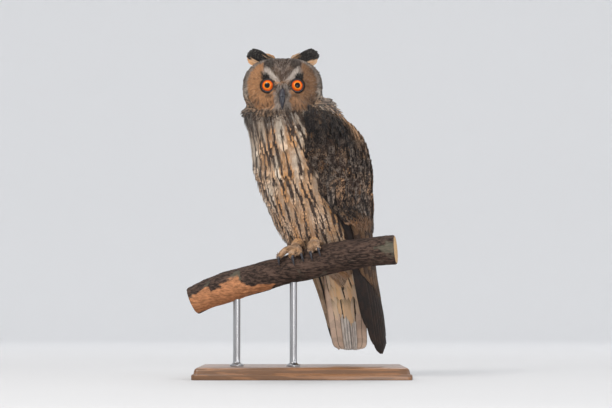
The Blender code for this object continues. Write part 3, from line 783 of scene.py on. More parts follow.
def head_colours(points):
    """Ground colour of the head's feathers, and how strong their dark marks are."""
    p = bpy.context.scene.owl_plumage
    at = points - HEAD_MIDDLE
    x, z = np.abs(at[:, 0]), at[:, 2]
    ahead = ramp(-at[:, 1], 0.002, 0.012)
    reach = face_reach(at)
    fleck = ripple(points, 0.0026, 3)
    soft = ripple(points, 0.009, 4)
    speck = ripple(points, 0.0017, 6)
    nape = ramp(at[:, 1], 0.0, 0.03)
    across, up = x - BROW_ROOT[0], z - BROW_ROOT[1]
    run = across * BROW_WAY[0] + up * BROW_WAY[1]
    off = up * BROW_WAY[0] - across * BROW_WAY[1]
    half = 0.0021 + 0.0016 * np.clip(run / 0.0217, 0, 1)
    span = ramp(run, -0.002, 0.002) * ramp(-run, -0.0240, -0.0205) * ahead
    wedge = ramp(off, -0.0005, 0.0010) * ramp(-x, -0.0230, -0.0200)
    disc = ramp(-reach, -1.03, -0.95) * (1 - wedge)
    side = np.clip(0.20 + 0.22 * soft + 0.25 * ramp(reach, 0.60, 0.95) + 17.0 * at[:, 0], 0, 1)
    low = ramp(-z, -0.002, 0.016) * ramp(reach, 0.45, 0.85)
    mottled = ramp(ripple(points, 0.0018, 5) + 0.5 * low, 0.3, 1.2) * (0.40 + 0.35 * low)
    tawny = layered(p.disc, (p.disc_grey, side), (p.dark, mottled))
    ruff = ramp(reach, 0.93, 0.99) * ramp(-reach, -1.45, -1.30) * (at[:, 1] < 0.006)
    pale = layered(
        p.brow,
        (p.cream, 0.35),
        (p.buff, ramp(-z, 0.006, 0.018) * 0.6),
        (p.crown, ramp(z, -0.012, 0.006) * 0.75),
        (p.black, ramp(fleck, -0.1, 0.6) * (0.55 + 0.4 * ramp(-z, 0.004, 0.014))),
    )
    rim = ramp(reach, 0.95, 1.0) * ramp(-reach, -1.09, -1.03) * ramp(-z, 0.002, 0.012) * ahead
    chin = ramp(-z, 0.025, 0.030) * ramp(reach, 0.95, 1.01) * ahead
    speckled = layered(
        p.crown,
        (p.dark, ramp(speck, -0.7, 0.4) * 0.95),
        (p.brow, ramp(-speck, 0.5, 1.2) * 0.3),
    )
    line = ramp(-np.abs(off + half + 0.0012), -0.0022, -0.0012) * ramp(run, 0.006, 0.011) * span
    brow = ramp(half - np.abs(off - 0.0004), -0.0008, 0.0006) * ramp(run, 0.001, 0.006) * span
    grey = np.clip(0.12 + 0.25 * fleck + 0.3 * ramp(run, 0.013, 0.022), 0, 0.7)
    lore = ramp(-x, -0.0115, -0.0080) * ramp(z, -0.031, -0.026) * ramp(-z, -0.004, 0.003) * ahead
    bridge = ramp(-x, -0.0046, -0.0025) * ramp(z, -0.014, -0.006) * ramp(-z, -0.009, -0.004) * ahead

    def near(across, up, half_across, half_up):
        """How near the points lie to a spot's middle, on both halves of the face."""
        gap = np.hypot((x - across) / half_across, (z - up) / half_up)
        return ramp(-gap, -1.15, -0.75) * ahead

    tint = layered(
        p.crown,
        (p.buff, np.clip(0.20 + 0.22 * soft, 0, 1)),
        (p.black, ramp(fleck, 0.1, 0.9) * 0.62),
        (p.brow, ramp(-fleck, 0.25, 1.0) * 0.45),
        (blend(p.buff, p.crown, 0.5 + 0.3 * soft), nape * 0.5),
        (tawny, disc),
        (pale, ruff),
        (p.black, rim * 0.75),
        (p.dark, chin * np.clip(0.75 + 0.3 * fleck, 0, 0.95)),
        (speckled, wedge * ramp(z, 0.003, 0.008) * 0.85),
        (p.black, line * 0.95),
        (p.black, near(0.0150, 0.0240, 0.0066, 0.0060) * 0.70),
        (layered(p.brow, (p.tail, 0.35), (p.crown, grey)), brow * 0.97),
        (blend(p.brow, p.crown, np.clip(0.50 + 0.30 * fleck, 0, 1)), lore * 0.95),
        (blend(p.dark, p.disc, np.clip(0.40 + 0.35 * fleck, 0, 0.8)), bridge * 0.9),
        (p.black, near(0.0196, 0.0098, 0.0050, 0.0046) * 0.97),
        (p.black, near(0.0098, 0.0005, 0.0020, 0.0062) * 0.75),
        (p.dark, near(0.0165, -0.0115, 0.0050, 0.0030) * 0.45 * ramp(fleck, -0.3, 0.5)),
        (p.black, ramp(-np.hypot(x - EYE_ACROSS, z), -0.0088, -0.0078) * ahead * 0.9),
    )
    return np.clip(tint, 0, 1), 0.35 * (1 - disc) * (1 - brow) * (1 - lore)


def body_colours(points):
    """Ground colour of the feathers of neck, torso and legs, the streaks' width and the bars' strength."""
    p = bpy.context.scene.owl_plumage
    own = to_own(points)
    stretched = own * (1.0, 0.6, 0.35)
    patchy = ripple(stretched, 0.010, 11)
    broad = ripple(stretched, 0.022, 12)
    turn, up = round_spine(own), own[:, 2]
    right_side = ramp(-turn, 0.05, 0.7) * ramp(-turn, -1.7, -1.3)
    flank = ramp(turn, 0.1, 0.9) * ramp(-turn, -2.2, -1.2) * ramp(up, -0.01, 0.03) * ramp(-up, -0.13, -0.09)
    rust = ramp(turn, 0.75, 1.15) * ramp(-turn, -2.2, -1.8)
    rust = rust * ramp(up, -0.015, 0.02) * ramp(-up, -0.085, -0.05)
    pale = ramp(-up, -0.085, -0.02) * (1 - 0.8 * rust)
    dorsal = ramp(np.abs(turn), 1.75, 2.15)
    collar = ramp(up, 0.122, 0.152) * (1 - 0.7 * dorsal)
    # Just below the face the neck darkens: partly its dense dark streaks, partly painted shadow of the ruff.
    throat_and_ruff_shadow = ramp(up, 0.132, 0.148) * ramp(-np.abs(turn - 0.25), -1.55, -1.05)
    hump = ramp(up, 0.128, 0.140) * ramp(turn, 0.75, 1.05) * ramp(-turn, -2.3, -1.9)
    back = dorsal * (1 - 0.65 * ramp(up, 0.110, 0.150))
    grey = blend(p.wing, p.wing_pale, np.clip(0.30 + 0.4 * patchy, 0, 1))
    tint = layered(
        p.cream,
        (p.buff, np.clip(0.42 + 0.55 * patchy + 0.30 * broad, 0, 1)),
        (BREAST_WHITE, right_side * np.clip(0.30 + 0.5 * broad, 0, 0.7)),
        (blend(p.buff, p.disc_grey, 0.22), flank * (0.62 + 0.25 * patchy)),
        (blend(p.belly, p.buff, np.clip(0.35 + 0.45 * patchy, 0, 1)), pale * 0.75),
        (FLANK_RUST, rust * np.clip(0.62 + 0.25 * patchy, 0, 0.85)),
        (p.crown, collar * (0.70 + 0.25 * patchy)),
        (p.dark, throat_and_ruff_shadow * np.clip(0.62 + 0.5 * patchy, 0, 0.95)),
        (blend(p.cream, p.buff, np.clip(0.25 + 0.4 * patchy, 0, 1)), hump * 0.75),
        (grey, back * 0.85 * (1 - 0.7 * hump)),
    )
    streak = 0.30 + 0.05 * ripple(stretched * (1, 1, 0.4), 0.007, 13) + 0.26 * collar - 0.04 * pale
    streak = streak + 0.15 * back + 0.12 * hump + 0.07 * ramp(up, 0.080, 0.110) * (1 - back)
    streak = streak * (1 - 0.75 * ramp(-up, 0.0, 0.03))
    return np.clip(tint, 0, 1), np.clip(streak, 0.0, 0.8), np.clip(0.15 + 0.5 * pale, 0, 0.7)


def vane_maps(net):
    """A vane's share across, distance from its shaft, share along, two colours, three marks and place."""
    share, along, _ = net.split(net.add("ShaderNodeUVMap", {"uv_map": "vane"}))
    across = (share * 2.0 - 1.0).maths("ABSOLUTE")
    marks = net.split(net.kept("streak", "Vector"))
    return share, across, along, net.kept("tint"), net.kept("mark"), marks, net.spot()


def barbed(net, shade, comb, least, most, dark):
    """The shade with fine slanting barbs, and the height of the barbs."""
    barb = comb.maths("SINE")
    return net.mix(least + most * barb, shade, dark), barb


def plumage_finish():
    """Feathers: the ground colour of each, darker near its root from dark down and painted shade, its dark
    shaft streak, cross bars, pale edge and fine barbs.
    """

    def build(net):
        _, across, along, tint, mark, (streak, bars, edge), spot = vane_maps(net)
        grit = net.noise(spot, 1400.0, 2.0, 0.6)
        cloud = net.noise(spot, 420.0)
        wear_and_root_shade = along + (grit - 0.5) * 0.25
        wide = streak * (0.85 + 0.25 * along) + (cloud - 0.5) * 0.16
        shaft = 1.0 - net.step(across, wide - 0.09, wide + 0.09)
        shaft = shaft * net.step(streak, 0.02, 0.12)
        wave = (along * 22.0 - across * 3.0 + cloud * 5.0).maths("SINE")
        bar = net.step(wave, 0.45, 0.95) * bars * net.step(along, 0.30, 0.50)
        # Painted shade, with the dark down of the bases: each feather darkens toward its mark colour near its
        # root, where the feathers over it shade it.
        shade = net.mix(net.step(wear_and_root_shade, 0.0, 0.55), net.mix(0.55, tint, mark), tint)
        shade = net.mix(bar, shade, mark)
        shade = net.mix(shaft, shade, mark)
        shade = net.mix(edge * net.step(across + along * 0.3, 0.80, 1.15), shade, WORN_EDGE)
        shade, barb = barbed(net, shade, along * 62.0 + across * 46.0, 0.10, 0.10, (0.02, 0.015, 0.01))
        shade = net.mix(net.step(grit, 0.52, 0.75) * 0.22, shade, WORN_GRIT)
        return {"Base Color": shade, "Normal": bump(net, barb * 0.5 + grit, 0.0003, 0.35)}

    soft = {"Sheen_Weight": 0.12, "Sheen_Roughness": 0.5, "Specular_IOR_Level": 0.25}
    return material("plumage", build, Roughness=0.82, **soft)


def skin_finish():
    """The skin under the feathers, with the same ground colours and the down's darker shade."""

    def build(net):
        down = net.noise(net.spot(), 900.0, 3.0, 0.6)
        shade = net.mix(0.35 + (down - 0.5) * 0.8, net.kept("tint"), DOWN_DARK)
        return {"Base Color": shade, "Normal": bump(net, down, 0.0006)}

    return material("skin", build, Roughness=0.9, Specular_IOR_Level=0.2)


def coat_colours(points, foot):
    """Ground colour, streak width and bars of every place on the skin."""
    p = bpy.context.scene.owl_plumage
    head = head_share(points)
    tint, streak, bars = body_colours(points)
    face, fleck = head_colours(points)
    tint = blend(tint, face, head)
    streak = streak * (1 - head) + fleck * head
    plain = blend(p.toe, p.belly, np.clip(0.3 + 0.3 * ripple(points, 0.006, 21), 0, 1))
    tint = blend(tint, plain, foot)
    return tint, streak * (1 - foot), bars * (1 - head) * (1 - foot)


def make_skin(flesh):
    """The one skin under the coat, which stands for the nodes of flesh."""
    mesh = flesh.mesh.copy()
    sunk = flesh.points - flesh.normals * flesh.depth[:, None]
    mesh.vertices.foreach_set("co", sunk.astype(np.float32).ravel())
    keep_rows(mesh, "tint", coat_colours(flesh.points, flesh.foot)[0])
    keep_map(mesh, "OFBake", unwrapped(flesh.points))
    return piece("skin", mesh, "body_plumage", "head", "neck", "torso", finish=skin_finish())


def breast_roots(flesh, draw):
    """Feathers of neck, breast, belly, flanks and back, in rows down the bird, so that their streaks line up.

    Gives place, way out, coat depth, share of foot, half width, and how strong the streak is there.
    """
    p = bpy.context.scene.owl_plumage
    rows = smooth_rows([(0, back, up) for back, up in SPINE], 400)
    run = np.concatenate([[0], np.cumsum(np.linalg.norm(np.diff(rows, axis=0), axis=1))])
    lanes = int(2 * math.pi / p.lane_spacing)
    starts, ways, waves = [], [], []
    for lane in range(lanes):
        turn = 2 * math.pi * (lane + draw.uniform(-0.16, 0.16)) / lanes
        places = (np.arange(run[-1] / p.row_spacing) + 0.5 * (lane % 2)) * p.row_spacing
        places = places + draw.normal(0, 0.0007, len(places))
        at, ahead = (
            np.column_stack([np.interp(q, run, rows[:, k]) for k in range(3)])
            for q in (places, places + 0.004)
        )
        axis = unit(ahead - at + (0, 0, 1e-5))
        side = unit(np.array((1.0, 0, 0)) - axis * axis[:, :1])
        depth = np.cross(axis, side)
        angle = turn + draw.normal(0, 0.012, len(places)) + 0.05 * np.sin(places * 60 + lane)
        starts.append(at)
        ways.append(side * np.cos(angle)[:, None] + depth * np.sin(angle)[:, None])
        phase = draw.uniform(0, 6.28)
        wave = 0.5 + 0.5 * np.sin(places * draw.uniform(120, 190) + phase)
        waves.append(wave + draw.normal(0, 0.12, len(places)))
    starts, ways = to_world(np.vstack(starts)), np.vstack(ways)
    kept, place, out, deep, foot = flesh.cast(starts, to_world(ways, place=False))
    far = np.linalg.norm(place - starts[kept], axis=1)
    wide = np.clip(0.62 * p.lane_spacing * far, 0.0030, 0.0058)
    ok = (head_share(place) < 0.5) & (foot < 0.5)
    return [rows[ok] for rows in (place, out, deep, foot, wide, np.concatenate(waves)[kept])]


def streaked(points, roots, low, high):
    """How much of a dark shaft streak lies at the points, from the feathers' own shafts near them."""
    long = roots.span[:, :1]
    tree = KDTree(2 * len(roots.root))
    ends = (roots.root + roots.lie * long * share for share in (low, high))
    for i, (first, last) in enumerate(zip(*ends)):
        tree.insert(first, 2 * i)
        tree.insert(last, 2 * i + 1)
    tree.balance()
    near = np.array([tree.find(p)[1] // 2 for p in points])
    off = points - roots.root[near]
    side = np.cross(roots.lie[near], roots.out[near])
    gap = np.abs((off * side).sum(1)) / np.maximum(roots.span[near, 1] * roots.streak[near, 0], 1e-5)
    return ramp(-gap, -1.5, -0.7)


def open_places(place, out, lie, covers, reach=0.0):
    """Which places no wing lies over, also further along the feather, and to its sides by the reach."""
    free = []
    for p, o, w in zip(place, out, lie):
        at, way = Vector(p) - Vector(o) * 0.004, Vector(o)
        aside = way.cross(Vector(w)) * reach
        tests = [[at, at + Vector(w) * 0.012]]
        if reach:
            tests += [[at + aside], [at - aside], [at + Vector(w) * 0.010]]
        free.append(not any(all(covers.ray_cast(q, way, 0.05)[0] for q in test) for test in tests))
    return np.array(free)


def make_breast(flesh, covers):
    """The body's feathers, and the loose barbs that soften them."""
    p = bpy.context.scene.owl_plumage
    draw = np.random.default_rng(p.seed)
    place, out, deep, foot, wide, wave = breast_roots(flesh, draw)
    lie = body_ways(place, out)
    left = (to_own(place)[:, 0] > 0) & (to_own(place)[:, 2] > 0.055)
    ok = open_places(place, out, lie, covers) & (~left | open_places(place, out, lie, covers, 0.0045))
    place, out, deep, foot, wide, wave, lie = (v[ok] for v in (place, out, deep, foot, wide, wave, lie))
    tint, streak, bars = coat_colours(place + lie * 0.016, foot)
    n = len(place)
    tint = np.clip(tint * draw.normal(1, 0.07, (n, 1)), 0, 1)
    own = to_own(place)
    neck = ramp(own[:, 2], 0.12, 0.17)
    aside = ramp(own[:, 2], 0.130, 0.150) * ramp(-own @ (0.77, 0.64, 0), 0.028, 0.048)
    size = draw.normal(1, 0.07, n)
    long = p.breast_length * (1 - 0.30 * neck) * size
    strong = np.clip(0.40 + 1.05 * wave, 0.35, 1.25)
    span = (long, wide * size, 1.12 * deep / long + 0.09 - 0.10 * aside)
    bend = (0.20 + 0.30 * aside, 0.28, draw.normal(0, 0.05, n))
    roots = Roots(place - out * deep[:, None], lie, out, span, bend, tint, p.dark)
    strong = np.where(neck > 0.5, draw.uniform(0.6, 1.25, n), strong)
    roots.marked(streak * strong, bars, 0.25 * draw.random(n))
    grow("body_feathers", roots, (9, 8, 0.45, 0.12, 0.26, 0.14), plumage_finish(), "body_plumage")
    place, out, deep, foot = flesh.scatter(draw, 54000, lambda at: (head_share(at) < 0.6) * 1.0)
    lie = body_ways(place, out)
    ok = (foot < 0.5) & open_places(place, out, lie, covers)
    place, out, deep, foot, lie = (v[ok] for v in (place, out, deep, foot, lie))
    n = len(place)
    tint, _, _ = coat_colours(place + lie * 0.005, foot)
    tint = blend(tint, BARB_PALE, draw.uniform(-0.2, 0.4, n).clip(0))
    tint = blend(tint, p.dark, streaked(place + lie * 0.004, roots, 0.75, 0.95) * 0.9)
    lie = along_skin(lie + draw.normal(0, 0.11, (n, 3)), out)
    root = place - out * (deep * draw.uniform(0.25, 0.6, n))[:, None]
    span = (draw.uniform(0.007, 0.012, n), BARB_HALF, draw.uniform(0.14, 0.30, n))
    barbs = Roots(root, lie, out, span, (0.35, 0, 0), tint, tint)
    grow("body_barbs", barbs, BARB_SHAPE, plumage_finish(), "body_plumage")


def make_head(flesh):
    """Crown, nape and ruff feathers, then the fine feathers of the face."""
    p = bpy.context.scene.owl_plumage
    draw = np.random.default_rng(p.seed + 1)

    def off_face(at):
        reach = face_reach(at - HEAD_MIDDLE)
        return (head_share(at) > 0.2) * (reach > 1.0) * 1.0

    place, out, deep, foot = flesh.scatter(draw, 36000, off_face, 0.0019)
    lie = coat_ways(place, out)
    tint, streak, _ = coat_colours(place + lie * 0.004, foot)
    n = len(place)
    at = place - HEAD_MIDDLE
    rim = ramp(-face_reach(at), -1.45, -1.15)
    fine = np.maximum(rim, ramp(at[:, 2], 0.012, 0.024) * ramp(-at[:, 1], -0.006, 0.006))
    nape = ramp(at[:, 0], 0.026, 0.036) * ramp(-at[:, 2], 0.0, 0.012) * ramp(at[:, 1], -0.012, 0.0)
    long = (0.0110 - 0.0046 * fine + 0.004 * nape) * draw.normal(1, 0.08, n)
    wide = (0.0026 - 0.0011 * fine) * draw.normal(1, 0.08, n)
    rise = 1.1 * deep / long + 0.12 * nape
    tip = np.where(draw.random(n)[:, None] < 0.4, p.black, p.dark)
    span = (long, wide, rise + 0.08 + 0.12 * rim)
    bend = (0.22, 0.25, draw.normal(0, 0.1, n))
    roots = Roots(place - out * deep[:, None], lie, out, span, bend, tint, tip)
    roots.marked(streak * draw.uniform(0.3, 1.2, n), 0.35, 0.25 * draw.random(n))
    grow("crown_feathers", roots, (5, 6, 0.45, 0.15, 0.30, 0.22), plumage_finish(), "face_plumage")
    face = face_strands(flesh, draw)
    grow("face_feathers", face, (3, 4, 0.6, 0.75, 0.1, 0.1), plumage_finish(), "face_plumage")


def face_strands(flesh, draw):
    """The fine feathers of the disc, brows and bristles."""
    p = bpy.context.scene.owl_plumage

    def on_face(at):
        from_head = at - HEAD_MIDDLE
        reach = face_reach(from_head)
        middle = (np.abs(from_head[:, 0]) < 0.010) & (from_head[:, 1] < -0.018) & (from_head[:, 2] < 0.016)
        return (head_share(at) > 0.5) * ((reach < 1.04) | middle) * 1.0

    place, out, deep, _ = flesh.scatter(draw, p.disc_count, on_face)
    at = place - HEAD_MIDDLE
    lie = head_ways(place, out)
    gap = np.hypot(np.abs(at[:, 0]) - EYE_ACROSS, at[:, 2])
    ok = gap > 0.0080
    place, out, deep, lie, at, gap = (v[ok] for v in (place, out, deep, lie, at, gap))
    n = len(place)
    near = ramp(-gap, -0.0125, -0.0085)
    long = p.disc_length * (1 - 0.55 * near) * draw.uniform(0.8, 1.15, n)
    lie = along_skin(lie + draw.normal(0, 0.09, (n, 3)), out)
    tint, _ = head_colours(place + lie * (0.55 * long)[:, None])
    tint = np.clip(tint * draw.uniform(0.76, 1.18, (n, 1)), 0, 1)
    lift = draw.uniform(0.22, 0.36, n)
    bristle = (np.abs(at[:, 0]) < 0.0052) & (at[:, 2] > -0.0075) & (at[:, 2] < 0.0022)
    down = np.column_stack([np.sign(at[:, 0]) * 0.16 + 22 * at[:, 0], np.full(n, -0.35), np.full(n, -1.0)])
    lie[bristle] = along_skin(down + draw.normal(0, 0.12, (n, 3)), out)[bristle]
    long[bristle] = draw.uniform(0.0066, 0.0108, n)[bristle]
    lift[bristle] = draw.uniform(0.50, 0.72, n)[bristle]
    frosted = blend(p.dark, p.brow, draw.uniform(0.0, 0.75, n)) * draw.uniform(0.7, 1.1, (n, 1))
    tint[bristle] = frosted[bristle]
    return Roots(place - out * deep[:, None], lie, out, (long, 0.00050, lift), (0.30, 0.2, 0), tint, tint)


def make_feet(flesh):
    """Short plain feathers of legs and toes."""
    p = bpy.context.scene.owl_plumage
    draw = np.random.default_rng(p.seed + 2)
    place, out, deep, foot = flesh.scatter(draw, 60000, lambda at: (at[:, 2] < LEG_TOP) * 1.0)
    ok = foot > 0.5
    place, out, deep, foot = (v[ok][:9000] for v in (place, out, deep, foot))
    n = len(place)
    middle = np.array((0.012, -0.024, GRIP.z + 0.018))
    ways = place - middle
    high = ramp(place[:, 2], GRIP.z + 0.006, GRIP.z + 0.02)[:, None]
    ways = unit(ways) * (1 - high) + np.array((0.0, -0.1, -1.0)) * high
    lie = along_skin(ways + draw.normal(0, 0.15, (n, 3)), out)
    tint, _, _ = coat_colours(place, foot)
    tint = blend(tint, p.disc_grey, ramp(ripple(place, 0.0022, 51), 0.0, 1.1) * 0.55)
    tint = np.clip(tint * draw.uniform(0.70, 1.12, (n, 1)), 0, 1)
    span = (draw.uniform(0.0036, 0.0058, n), 0.0006, 0.30)
    roots = Roots(place - out * deep[:, None], lie, out, span, (0.35, 0.2, 0), tint, tint)
    nodes = ("foot_left", "foot_right")
    grow("foot_feathers", roots, (3, 4, 0.7, 0.6, 0.1, 0.1), plumage_finish(), "foot_plumage", *nodes)


# What is worked out once for several pieces
MADE = {}


def flesh():
    """The outer skin, worked out once."""
    if "flesh" not in MADE:
        MADE["flesh"] = Flesh()
    return MADE["flesh"]


# The folded wing: up, then side and back of its front edge, side and back of its rear edge, and its bulge
WING_STATIONS = (
    (0.166, 0.036, -0.030, 0.018, 0.016, 0.008),
    (0.150, 0.048, -0.034, 0.016, 0.044, 0.027),
    (0.132, 0.053, -0.031, 0.015, 0.062, 0.038),
    (0.109, 0.052, -0.027, 0.013, 0.076, 0.040),
    (0.088, 0.055, -0.013, 0.011, 0.084, 0.036),
    (0.069, 0.054, -0.007, 0.010, 0.090, 0.033),
    (0.043, 0.056, 0.020, 0.010, 0.096, 0.026),
    (0.015, 0.049, 0.049, 0.011, 0.102, 0.019),
    (-0.030, 0.042, 0.069, 0.019, 0.110, 0.014),
    (-0.070, 0.041, 0.082, 0.029, 0.118, 0.011),
    (-0.105, 0.041, 0.092, 0.035, 0.125, 0.007),
    (-0.124, 0.041, 0.100, 0.037, 0.128, 0.004),
)
WING_ROWS = smooth_rows(WING_STATIONS, 61)
# How far the left wing is pressed in at the neck, at which height and over how much of it
LEFT_WING_PRESSED = (0.0064, 0.146, 0.024)
# How far the right wing's tip moves in, back and up, and how far back its front edge lies at the shoulder
RIGHT_WING_TUCK = np.array((-0.006, 0.017, 0.005))
RIGHT_WING_COVERED = 0.016
# The tail, from inside the rump to its tip: back, up, half width
TAIL_STATIONS = (
    (0.068, 0.016, 0.020),
    (0.076, 0.000, 0.026),
    (0.086, -0.030, 0.0295),
    (0.093, -0.057, 0.0290),
    (0.098, -0.090, 0.0265),
    (0.101, -0.110, 0.0240),
    (0.1015, -0.1165, 0.0150),
)
TAIL_ROWS = smooth_rows(TAIL_STATIONS, 31)


def row_at(rows, place):
    """Rows of numbers at places from 0 to 1 along the table."""
    at = np.clip(np.asarray(place, float), 0, 1) * (len(rows) - 1)
    i = np.minimum(at.astype(int), len(rows) - 2)
    return rows[i] + (rows[i + 1] - rows[i]) * (at - i)[..., None]


def wing_point(side, s, t, lift=0.0):
    """World points over the folded wing: s along it, t from its front edge to its rear one, lifted off it."""
    s, t = np.broadcast_arrays(np.asarray(s, float), np.asarray(t, float))
    row = row_at(WING_ROWS, s)
    up, front_x, front_y, rear_x, rear_y, bulge = (row[..., k] for k in range(6))
    if side > 0:
        pressed, height, spread = LEFT_WING_PRESSED
        bulge = bulge - pressed * np.exp(-(((up - height) / spread) ** 2))
    else:
        front_y = front_y + RIGHT_WING_COVERED * np.maximum(0.0, 1 - s / 0.6)
    front = np.stack([front_x, front_y, up], -1)
    chord = np.stack([rear_x, rear_y, up], -1) - front
    out = unit(np.stack([chord[..., 1], -chord[..., 0], np.zeros_like(up)], -1))
    at = front + chord * t[..., None] + out * (bulge * 4 * t * (1 - t) + lift)[..., None]
    if side < 0:
        at = at + RIGHT_WING_TUCK * np.maximum(0.0, (s - 0.5) / 0.5)[..., None]
    return to_world(at * (side, 1, 1))


def wing_frame(side, s, t):
    """Place, way down the wing, way across it and way out at points of the wing."""
    at = wing_point(side, s, t)
    down = unit(wing_point(side, np.asarray(s) + 0.01, t) - wing_point(side, np.asarray(s) - 0.01, t))
    over = wing_point(side, s, np.asarray(t) + 0.02) - wing_point(side, s, np.asarray(t) - 0.02)
    out = unit(np.cross(over, down) * side)
    return at, down, unit(over), out


def tail_point(along, across, lift):
    """World points of the tail: across it from -1 to 1, and lifted from its middle layer towards the back."""
    along, across, lift = np.broadcast_arrays(*(np.asarray(v, float) for v in (along, across, lift)))
    row = row_at(TAIL_ROWS, along)
    way = row_at(TAIL_ROWS, along + 0.02)[..., :2] - row_at(TAIL_ROWS, along - 0.02)[..., :2]
    back = unit(np.stack([np.zeros_like(along), -way[..., 1], way[..., 0]], -1))
    middle = np.stack([row[..., 2] * across, row[..., 0], row[..., 1]], -1)
    return to_world(middle + back * (lift - 0.0016 * across**2)[..., None])


class Quills:
    """Long feathers gathered into one mesh: closed vanes with a raised shaft and the markings' maps."""

    def __init__(self):
        self.points, self.faces, self.leaf, self.flat = [], [], [], []
        self.tint, self.mark, self.kind = [], [], []

    def add(self, place, width, count, tint, mark, kind, cell):
        """A vane whose place(along, across, lift) gives world points; cell is its strip of the map.

        tint, mark and kind are one row for both faces, or a row for the outer and one for the inner face.
        """
        across = np.array((-1.0, -0.62, -0.10, 0.0, 0.10, 0.62, 1.0))
        along = np.linspace(0, 1, 26)
        thick = 0.0004
        grid_v, grid_u = np.meshgrid(along, across, indexing="ij")
        half = width(grid_v)
        ridge = np.where(np.abs(grid_u) < 0.05, 0.0004, 0.0) * (1 - grid_v)
        belly = (1 - grid_u**2) * 0.0005
        upper = place(grid_v, grid_u * half, belly + ridge + thick / 2)
        lower = place(grid_v, grid_u * half, belly - ridge - thick / 2)
        n, m = grid_u.shape
        start = sum(len(p) for p in self.points)
        self.points += [upper.reshape(-1, 3), lower.reshape(-1, 3)]
        index = np.arange(n * m).reshape(n, m) + start
        quads = []
        for shift, turned in ((0, False), (n * m, True)):
            a, b, c, d = (index[:-1, :-1], index[:-1, 1:], index[1:, 1:], index[1:, :-1])
            quad = np.stack([a, b, c, d], -1).reshape(-1, 4) + shift
            quads.append(quad[:, ::-1] if turned else quad)
        rim = np.concatenate([index[0], index[1:, -1], index[-1, ::-1][1:], index[::-1, 0][1:-1]])
        after = np.roll(rim, -1)
        quads.append(np.stack([rim, rim + n * m, after + n * m, after], -1))
        self.faces.append(np.vstack(quads))
        leaf = np.column_stack([(grid_u.ravel() + 1) / 2, grid_v.ravel()])
        self.leaf += [leaf, leaf]
        strip = np.array(((cell + 0.05 + 0.85 * leaf[:, 0]) / count, 0.02 + 0.95 * leaf[:, 1])).T
        self.flat += [strip * (1, 0.5), strip * (1, 0.5) + (0, 0.5)]
        for rows_of, value in ((self.tint, tint), (self.mark, mark), (self.kind, kind)):
            rows_of += [np.repeat(np.broadcast_to(value, (2, 3)), n * m, axis=0)]

    def mesh(self, name):
        mesh = mesh_from(name, np.vstack(self.points), np.vstack(self.faces).tolist())
        for label, rows in (("vane", self.leaf), ("OFBake", self.flat)):
            keep_map(mesh, label, np.vstack(rows))
        for label, rows in (("tint", self.tint), ("mark", self.mark), ("streak", self.kind)):
            keep_rows(mesh, label, np.vstack(rows))
        return mesh


def vane_outline(root, widest, tip):
    """Half width of a long vane along it: root width's share, where it is widest and the tip's bluntness."""

    def width(along):
        grown = root + (1 - root) * np.sin(np.clip(along / widest, 0, 1) * math.pi / 2)
        end = np.clip((along - tip) / (1 - tip), 0, 1)
        return grown * np.sqrt(np.clip(1 - end**2.2, 0.0, 1)).clip(0.06)

    return width


def flight_finish():
    """Flight and tail feathers: broad dark bars, mottled pale bands, a dark shaft, edges darkened with
    painted shade, and fine slanting barbs.
    """

    def build(net):
        _, across, along, tint, mark, (count, strong, fleck), spot = vane_maps(net)
        cloud = net.noise(spot, 260.0, 3.0, 0.6)
        grit = net.noise(spot, 1300.0, 3.0, 0.7)
        turn = along * count * 6.2832 - across * 0.9 + (cloud - 0.5) * 3.4
        bar = net.step(turn.maths("SINE"), 0.05, 0.65) * strong
        pepper = net.step(grit + (cloud - 0.5) * 0.3, 0.50, 0.62) * fleck
        shade = net.mix(pepper, tint, mark)
        shade = net.mix(bar, shade, mark)
        # The dark middle line is the shaft; the dark line along each edge is painted shade, where one feather
        # lies over the next.
        line = (1.0 - net.step(across, 0.03, 0.09)) * 0.7
        line = line.maths("MAXIMUM", net.step(across, 0.84, 0.97) * 0.45)
        shade = net.mix(line, shade, mark)
        shade, barb = barbed(net, shade, along * 260.0 + across * 60.0, 0.08, 0.07, (0.01, 0.008, 0.006))
        return {"Base Color": shade, "Normal": bump(net, barb * 0.4 + grit * 0.5, 0.0002, 0.35)}

    return material("flight_feathers", build, Roughness=0.72, Sheen_Weight=0.08, Specular_IOR_Level=0.3)


def covert_rows(draw, tiers):
    """Roots of the wing's small feathers. A tier is its span, rows, feathers a row, length and width."""
    gathered = {key: [] for key in ("s", "t", "long", "wide", "order")}
    for order, (start, end, rows, count, long, wide) in enumerate(tiers):
        for i in range(rows):
            s = start + (end - start) * (i / max(rows - 1, 1))
            t = (np.arange(count) + 0.5 * (i % 2) + 0.25) / count
            gathered["s"].append(s + draw.normal(0, 0.006, count))
            gathered["t"].append(np.clip(t * 0.98 + draw.normal(0, 0.012, count), 0.01, 0.99))
            gathered["long"].append(long * draw.normal(1, 0.09, count))
            gathered["wide"].append(wide * draw.normal(1, 0.08, count))
            gathered["order"].append(np.full(count, order))
    return {key: np.concatenate(rows) for key, rows in gathered.items()}


